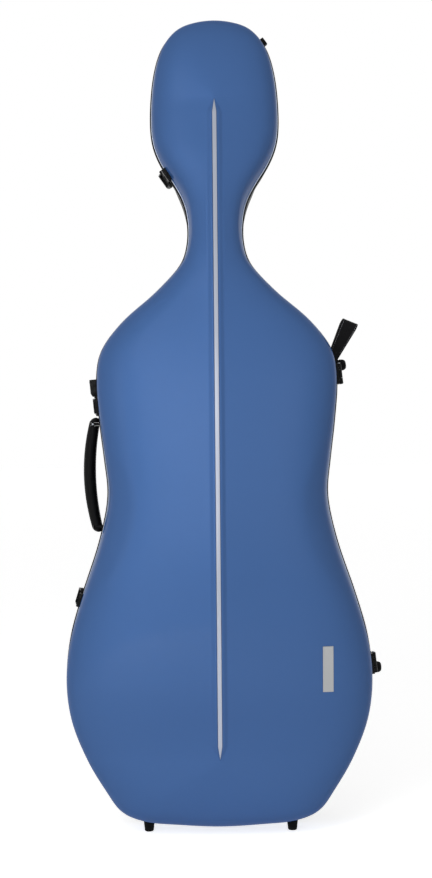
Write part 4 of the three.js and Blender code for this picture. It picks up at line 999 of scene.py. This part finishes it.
def make_handle():
    place = joint_place("handle_swing", -1, 16)
    pin_up, end, top_end, pin_out, sink, rise, tip = 86, 95, 97, 16, 2.5, 10, 8.8
    thick, wide, lug, nose = 10.3, 11.5, 2.5, 4.2

    def along(share):
        return share * (top_end if share > 0 else end)

    def spine(share):
        return pin_out - sink + rise * (1 - (along(share) / pin_up) ** 2)

    def size(share, half):
        into_end = max(abs(share) * end - (end - tip), 0) / tip
        return (tip + (half - tip) * (1 - share * share)) * max(1 - into_end ** 2, 0) ** 0.5

    loops = []
    for t in np.linspace(-1, 1, 121):
        share = math.sin(t * math.pi / 2)
        radii = [max(size(share, half), 0.01) for half in (wide, thick)]
        loops.append(spots(place, "up", circle(1, count=32) * radii + [0, spine(share)], along(share)))
    cuts = []
    for at in (-pin_up, pin_up):
        slot = lug + SEAT_GAP
        cuts.append(block(place, (ROOT, pin_out + nose + RUN_GAP), (-23, 23), (at - slot, at + slot)))
        cuts.append(rod(place, "up", 2 + RUN_GAP, at - 6.3, at + 6.3, (0, pin_out)))
    fit("handle_leather", "handle_grip", [joined_loops(loops, "flat")], cuts, "handle_grip", "leather",
        edge=0.3)

    rows = []
    shares = np.linspace(-0.86, 0.86, 90)
    for lean in (-24, 24):
        turn = math.radians(180 + lean)
        normals = [np.array([math.cos(turn), math.sin(turn), 0]) @ place[1]] * len(shares)
        points = [place[0] + np.array([
            spine(s) + size(s, thick) * math.cos(turn), size(s, wide) * math.sin(turn), along(s)]) @ place[1]
            for s in shares]
        rows += stitches(points, normals)
    sew("handle_stitches", rows, "handle_grip", "leather")

    for name, at in (("upper", pin_up), ("lower", -pin_up)):
        shapes = [
            prism(place, "out", oblong((0, at), 12, 14, 5), ROOT, 1.6),
            block(place, (ROOT, pin_out), (-nose, nose), (at - lug, at + lug)),
            rod(place, "up", nose, at - lug, at + lug, (0, pin_out)),
            rod(place, "up", 2, at - 6, at + 6, (0, pin_out))]
        fit(f"handle_mount_{name}", f"handle_bracket_{name}", shapes)
        add_screws("base", place, "out", [(0, at - 9), (0, at + 9)], 1.4, 2.4)
    rivet = lathe(place, "back", [(0.8, -4.55), (1.5, -4.5), (1.9, -4.35), (2.0, -4.1), (2.0, -2)],
                  (pin_out, pin_up), 24)
    dress(new_object("handle_rivet", *rivet), "base", "steel")


# Strap loop

def make_strap_loop():
    angle, square, twist = math.radians(63.5), math.radians(68), math.radians(7)
    sink, depth, length, width, thick, eye = 3.8, 22, 78, 27.4, 2.5, 6.9
    direction = np.array([math.cos(angle), 0, math.sin(angle)])
    side = np.array([math.sin(square), 0, -math.cos(square)])
    rear = BACK * math.cos(twist) - side * math.sin(twist)
    side = side * math.cos(twist) + BACK * math.sin(twist)
    point, _ = right_edge(height_at(0.5735))
    root = np.array([point[0] - sink, depth, point[1]])
    leg = (thick + 0.3) / 2
    turn = arc(0, length - eye - thick / 2, eye, 180, 0, 20)
    path = np.array([(-leg, 0), (-leg, 12), (-leg - 0.3, 20), *turn, (leg + 0.3, 20), (leg, 12), (leg, 0)])
    steps = run_lengths(path)
    path = blurred(between(np.linspace(0, steps[-1], 90), steps, path), 3, closed=False)
    along = np.gradient(path, axis=0)
    along /= np.linalg.norm(along, axis=1, keepdims=True)
    loops, normals, edges = [], [], {-1: [], 1: []}
    for (d, s), (turn_d, turn_s) in zip(path, along):
        half = width * (0.6 + 0.4 * min(s / (0.85 * length), 1)) / 2
        normal = rear * -turn_s + direction * turn_d
        centre = root + rear * d + direction * s
        corners = rectangle((-half, half), (-thick / 2, thick / 2), 0.8, 3)
        loops.append(np.array([centre + side * a + normal * b for a, b in corners]))
        normals.append(normal)
        for sign, edge in edges.items():
            edge.append(centre + side * sign * (half - 2.4))
    band = solid("shoulder_loop", [joined_loops(loops, "flat")], seats=seats["base"][:1], edge=0, sharp=50,
                 solver="EXACT")
    dress(band, "base", "leather", "strap_loop")
    rows = []
    for edge in edges.values():
        for face in (-1, 1):
            outward = [face * n for n in normals[10:-10]]
            points = [p + n * (thick / 2) for p, n in zip(edge[10:-10], outward)]
            rows += stitches(points, outward, 2.8, 1.0, 0.38)
    sew("shoulder_loop_stitches", rows, "base", "leather")


# Rings on the back

def make_ring(name):
    place = place_at(pivot_of(f"ring_{name}_swing")[0])
    wire, wide, drop, stand_off, half = 1.9, 15, 22, 5.2, 10.5
    root = ROOT - stand_off
    bend = arc(0, wide - drop, wide, 0, -180, 28)
    path = rounded([(-wide, 0), (wide, 0), *bend], [2.6, 2.6] + [0] * len(bend))
    points = [place[0] + np.array([x, 0, z]) for x, z in path]
    dress(new_object(f"ring_{name}_wire", *tube(points, wire, BACK, ring=True, count=16), 60),
          f"ring_{name}", "steel", f"ring_{name}")
    shapes = [
        prism(place, "back", rectangle((-half, half), (-1, 15), [0, 0, 5, 5]), root, 1.8 - stand_off),
        block(place, (-half, half), (root, 0), (-1, 3.9)), rod(place, "out", 3.9, -half, half)]
    bore = rod(place, "out", 2.3, -12, 12)
    fit(f"ring_{name}_holder", f"ring_anchor_{name}", shapes, [bore], edge=0.4)
    add_screws("base", place, "back", [(-5.6, 9.2), (5.6, 9.2)], 1.6 - stand_off, 2.2)


# Inside fittings

def make_pad(node_name, name, reach=5.0):
    """A foam pad: its solid remeshed, blown up a little as cloth, held back where it rests on the lining."""
    low, high = (np.array(corner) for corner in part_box(node_name))
    piece = linked(name, nodes[node_name].data.copy())
    middle = Vector((low + high) / 2)
    piece.data.transform(Matrix.Translation(middle) @ Matrix.Diagonal((0.985, 0.97, 0.96, 1))
                         @ Matrix.Translation(-middle))
    remesh = piece.modifiers.new("remesh", "REMESH")
    remesh.mode, remesh.voxel_size = "VOXEL", 0.005
    soften = piece.modifiers.new("soften", "SMOOTH")
    soften.factor, soften.iterations = 0.5, 3
    settle(piece)
    before = np.array([v.co[:] for v in piece.data.vertices])
    cloth = piece.modifiers.new("cloth", "CLOTH")
    cloth.settings.use_pressure = True
    cloth.settings.uniform_pressure_force = 4
    cloth.settings.effector_weights.gravity = 0
    cloth.settings.quality = 5
    scene = bpy.context.scene
    for number in range(1, 21):
        scene.frame_set(number)
    settle(piece)
    scene.frame_set(1)
    move = np.array([v.co[:] for v in piece.data.vertices]) - before
    length = np.linalg.norm(move, axis=1, keepdims=True)
    move *= np.minimum(1, reach * MM / np.maximum(length, 1e-9))
    move[:, 1] = np.minimum(move[:, 1], 0.0003)
    placed = before + move
    placed[:, 0] = np.clip(placed[:, 0], low[0] + 0.0002, high[0] - 0.0002)
    piece.data.vertices.foreach_set("co", placed.astype(np.float32).ravel())
    rounder = piece.modifiers.new("rounder", "SUBSURF")
    rounder.levels = rounder.render_levels = 1
    settle(piece)
    smooth(piece, 80)
    dress(piece, "base", "plush", node_name)
    return piece


def piping(piece, name, outline, radius=1.3):
    """A corded seam laid on the front of a pad, along an outline in x and z, dropped onto its surface."""
    path = []
    for x, z in outline:
        start = (Vector((x, 0, z)) + Vector(OFFSET)) * MM
        hit, spot, _, _ = piece.ray_cast(start, BACK, distance=0.2)
        if hit:
            path.append(np.array(spot) / MM - OFFSET)
    dress(new_object(name, *tube(path, radius, BACK, ring=True, count=10), 60), "base", "webbing")


def make_pads():
    margin = 9
    for name, width, share, length in (("upper", 0.471, 0.5409, 66), ("lower", 0.5988, 0.1682, 70)):
        pad = make_pad(f"back_pad_{name}", f"back_cushion_{name}")
        seam = oblong((0, height_at(share)), width * HALF_WIDTH - margin, length / 2 - margin, 8)
        piping(pad, f"back_cushion_{name}_seam", evenly(seam, step=3.0))
    make_pad("neck_rest", "neck_cushion", 4.0)


def make_neck_strap():
    """A band round the front of the neck, its loose end laid on it, and the stitches of that end."""
    z = height_at(0.7166)
    point, _ = right_edge(z)
    half, rise, seat_y, thick, width = point[0] - SHELL_WALL - LINING_THICKNESS, 28, 22, 2, 30
    turn = np.radians(np.linspace(188, -8, 61))
    lap, seam, seam_up = slice(22, 48), slice(23, 47), 11.5

    def over(t, lift, up):
        return np.array([math.cos(t) * (half + lift), seat_y - math.sin(t) * (rise + lift), z + up])

    bands = []
    for level, ends in ((0.0, turn), (2.1, turn[lap])):
        corners = rectangle((0.05 - level, thick - level - 0.1), (-width / 2, width / 2), 0.6, 3)
        bands.append(joined_loops([np.array([over(t, -inner, up) for inner, up in corners]) for t in ends],
                                  "flat"))
    front = block(place_at((0, 0, 0)), (-200, 200), (-60, 9), (0, 1300))
    space = solid("space", [room(False, 3), front], edge=0)
    fit("neck_webbing", "neck_strap", bands[:1], slot="webbing", within=space, edge=0, sharp=50)
    dress(new_object("neck_webbing_end", *bands[1], 50), "base", "webbing")
    rows = []
    for up in (-seam_up, seam_up):
        normals = [np.array([math.cos(t), -math.sin(t), 0]) for t in turn[seam]]
        rows += stitches([over(t, 2.1, up) for t in turn[seam]], normals, 2.6, 1.2, 0.35)
    sew("neck_webbing_stitches", rows, "base", "webbing")


def make_endpin_block():
    place = place_at((0, 0, 0))
    well, well_y, floor, top = 15, 66, 42, 66
    cuts = [rod(place, "up", well, floor, top + 6, (well_y, 0))]
    cuts += [prism(place, "up", oblong((30 + 6 * k, 0), 1.1, 60, 0), top - 1.2, top + 3) for k in range(3)]
    fit("endpin_rest", "endpin_block", [block(place, (-46, 46), (26, 132), (0, top))], cuts,
        slot="moulded", within=room(False), edge=1.6)
    profile = [(13.4, 47), (14.9, 47), (14.9, top), (17.5, top), (17.5, top + 0.9), (16.6, top + 1.5),
               (14.2, top + 1.5), (13.4, top + 0.6)]
    rings = [spots(place, "up", circle(radius, (well_y, 0), 48), level) for radius, level in profile]
    dress(loft("endpin_collar", rings, "ring", 30), "base", "steel")


def make_bow_pocket():
    place = place_at((0, 0, 0))
    wide, wall, deep, length = 0.4471 * HALF_WIDTH, 2.4, 24, 74
    low = height_at(0.1515) - length / 2
    high = low + length
    front = deep - (float(crown(True, low)) - SHELL_WALL - LINING_GAP - LINING_THICKNESS)
    outer = block(place, (-wide, wide), (-LID_DEPTH, front), (low, high))
    inner = block(place, (wall - wide, wide - wall), (-LID_DEPTH, front - wall), (low + wall, high + 6))
    fit("bow_sleeve", "bow_pocket", [outer], [inner], "lid", "webbing", within=room(True), edge=0.9)
    hem = [(x, front - wall / 2, high - 0.2) for x in np.linspace(-wide + 1, wide - 1, 40)]
    dress(new_object("bow_sleeve_hem", *tube(hem, 2.0, (0, 0, 1), count=14), 60), "lid", "webbing")
    rows = []
    for z in (high - 6, high - 9, low + 4):
        points = [np.array([x, front, z]) for x in np.linspace(4 - wide, wide - 4, 60)]
        rows += stitches(points, [BACK] * len(points), 3.0, 1.4, 0.35)
    sew("bow_sleeve_stitches", rows, "lid", "webbing")


def make_bow_clips():
    half_bar = [(-22.5, 0), (-22.5, -4.5), (-8, -4.5), (0, -5.6), (8, -4.5), (22.5, -4.5)]
    outline = rounded(half_bar + [(-a, -b) for a, b in half_bar], [0, 4.4, 6, 5, 6, 4.4] * 2)
    for side in ("left", "right"):
        pivot, _ = pivot_of(f"bow_clip_{side}_turn")
        (under, over), (base, top) = [[corner[1] for corner in box_of(f"bow_clip_{part}_{side}")]
                                      for part in ("bar", "base")]
        place, seat = place_at((pivot[0], 0, pivot[2])), under - RUN_GAP
        foot = solid("foot", [lathe(place, "back", [
            (11, base - 4), (11, seat - 3), (10.4, seat - 1.4), (9, seat - 0.5), (7, seat), (2.6, seat)],
            (0, 0), 48)], within=room(True), edge=0)
        stud = solid("stud", [
            rod(place, "back", 2.6, seat - 5, over + 0.6),
            lathe(place, "back", [(4.2, over + SEAT_GAP), (4.2, top - 0.7), (3.2, top - 0.1), (1.5, top)])],
            [prism(place, "back", oblong((0, 0), 2.6, 0.4, 0), top - 0.6, top + 2)], edge=0.15)
        dress(gathered(f"bow_clip_{side}_foot", [foot, stud]), "lid", "moulded", f"bow_clip_base_{side}")
        dimples = [lathe(place, "back", [(3.4, over + 1), (2.6, over - 0.9), (1, over - 1.2)], (x, 0), 28)
                   for x in (-16, 16)]
        bar, hole = f"bow_clip_bar_{side}", rod(place, "back", 3.0, under - 3, over + 3)
        fit(f"bow_clip_{side}_bar", bar, [prism(place, "back", outline, under, over)], [hole, *dimples],
            bar, "moulded", edge=0.6)


make_shells()
make_linings()
make_rims()
make_strip()
make_plate()
seats |= {"base": outside(False), "lid": outside(True)}
make_feet()
make_side_feet()
make_bumper()
make_hinge("upper", 0.5581)
make_hinge("lower", 0.1948)
for latch_name in ("head", "middle", "lower"):
    make_latch(latch_name)
make_lock()
make_handle()
make_strap_loop()
for ring_name in ("upper_left", "upper_right", "lower_left", "lower_right"):
    make_ring(ring_name)
for seat_body, seat_parts in seats.items():
    for seat_part in seat_parts:
        bpy.data.objects.remove(seat_part)
    dress(gathered(f"{seat_body}_screws", screws[seat_body]), seat_body, "black_fittings")
seats.clear()
make_pads()
make_neck_strap()
make_endpin_block()
make_bow_pocket()
make_bow_clips()


# Floor, light and camera

WHITE = (1, 1, 1, 1)


def seen_rays(tree):
    """1 for what the camera sees directly, in gloss or through glass, and 0 for other light."""
    rays = node(tree, "ShaderNodeLightPath").outputs
    seen = maths(tree, "MAXIMUM", rays["Is Camera Ray"], rays["Is Glossy Ray"])
    return maths(tree, "MAXIMUM", seen, rays["Is Transmission Ray"])


def make_stage():
    bpy.ops.mesh.primitive_plane_add(size=60)
    floor = bpy.context.object
    floor.name = "floor"
    tree, out = shader("pale_floor")
    feed(tree, out, {
        "Base Color": (0.85, 0.85, 0.85, 1), "Roughness": 0.9, "Emission Strength": seen_rays(tree),
        "Emission Color": (0.76, 0.76, 0.76, 1)})
    floor.data.materials.append(materials["pale_floor"])

    world = bpy.data.worlds.new("studio")
    bpy.context.scene.world = world
    world.use_nodes = True
    tree = world.node_tree
    tree.nodes.clear()
    shade = node(tree, "ShaderNodeBackground", {"Color": WHITE, "Strength": 0.2})
    white = node(tree, "ShaderNodeBackground", {"Color": WHITE, "Strength": 1.0})
    mix = node(tree, "ShaderNodeMixShader", {0: seen_rays(tree), 1: shade.outputs[0], 2: white.outputs[0]})
    node(tree, "ShaderNodeOutputWorld", {0: mix.outputs[0]})


def aim_at(piece, place, aim, axis):
    piece.location = place
    piece.rotation_euler = (Vector(aim) - Vector(place)).to_track_quat(axis, "Y").to_euler()


def area_light(name, place, aim, size, watts):
    """A lamp that gloss doesn't show."""
    light = bpy.data.lights.new(name, "AREA")
    light.shape = "RECTANGLE"
    light.size, light.size_y = size
    light.energy = watts
    piece = linked(name, light)
    aim_at(piece, place, aim, "-Z")
    piece.visible_glossy = False


def soft_panel(name, place, size, strength):
    """A light panel that is brightest in its middle and fades out to nothing at its edge."""
    bpy.ops.mesh.primitive_plane_add(size=size)
    panel = bpy.context.object
    panel.name = name
    aim_at(panel, place, (0, 0, 0.72), "Z")
    panel.visible_camera = False
    made = bpy.data.materials.new(name)
    made.use_nodes = True
    tree = made.node_tree
    tree.nodes.clear()
    place_in = node(tree, "ShaderNodeTexCoord")
    length = node(tree, "ShaderNodeVectorMath", {0: place_in.outputs["Object"]}, operation="LENGTH")
    fade = node(tree, "ShaderNodeMapRange", {
        "Value": length.outputs["Value"], "From Min": 0.0, "From Max": size / 2, "To Min": strength,
        "To Max": 0.0}, interpolation_type="SMOOTHSTEP")
    glow = node(tree, "ShaderNodeEmission", {"Color": WHITE, "Strength": fade.outputs[0]})
    clear = node(tree, "ShaderNodeBsdfTransparent")
    both = node(tree, "ShaderNodeAddShader", {0: glow.outputs[0], 1: clear.outputs[0]})
    node(tree, "ShaderNodeOutputMaterial", {0: both.outputs[0]})
    panel.data.materials.append(made)


def make_camera():
    """The photo's camera, from its distance, its height and its focal length in pixels."""
    distance, height, focal, photo_height, sensor = 2.6, 0.646, 1565, 878, 36
    data = bpy.data.cameras.new("camera")
    data.sensor_fit = "VERTICAL"
    data.sensor_height = sensor
    data.lens = focal / photo_height * sensor
    data.shift_y = -4 / photo_height
    camera = linked("camera", data)
    camera.location = (OFFSET[0] * MM - 0.002, OFFSET[1] * MM - distance, height)
    camera.rotation_euler = (Matrix.Rotation(math.radians(90), 3, "X")
                             @ Matrix.Rotation(math.radians(-0.54), 3, "Z")).to_euler()
    bpy.context.scene.camera = camera


make_stage()
soft_panel("panel_middle", (-0.5, -2.8, 1.05), 2.0, 1.85)
soft_panel("panel_left", (-2.0, -1.9, 1.05), 2.0, 0.57)
soft_panel("panel_right", (1.0, -2.7, 1.05), 2.0, 0.67)
soft_panel("panel_high", (-1.1, -2.4, 1.8), 1.6, 0.74)
area_light("lamp_near", (-0.5, -1.4, 0.85), (0, 0, 0.8), (0.4, 1.4), 14)
area_light("lamp_top", (0, -1.2, 2.4), (0, 0, 0.8), (1.0, 1.0), 2.7)
make_camera()
bpy.context.scene.view_settings.view_transform = "Standard"
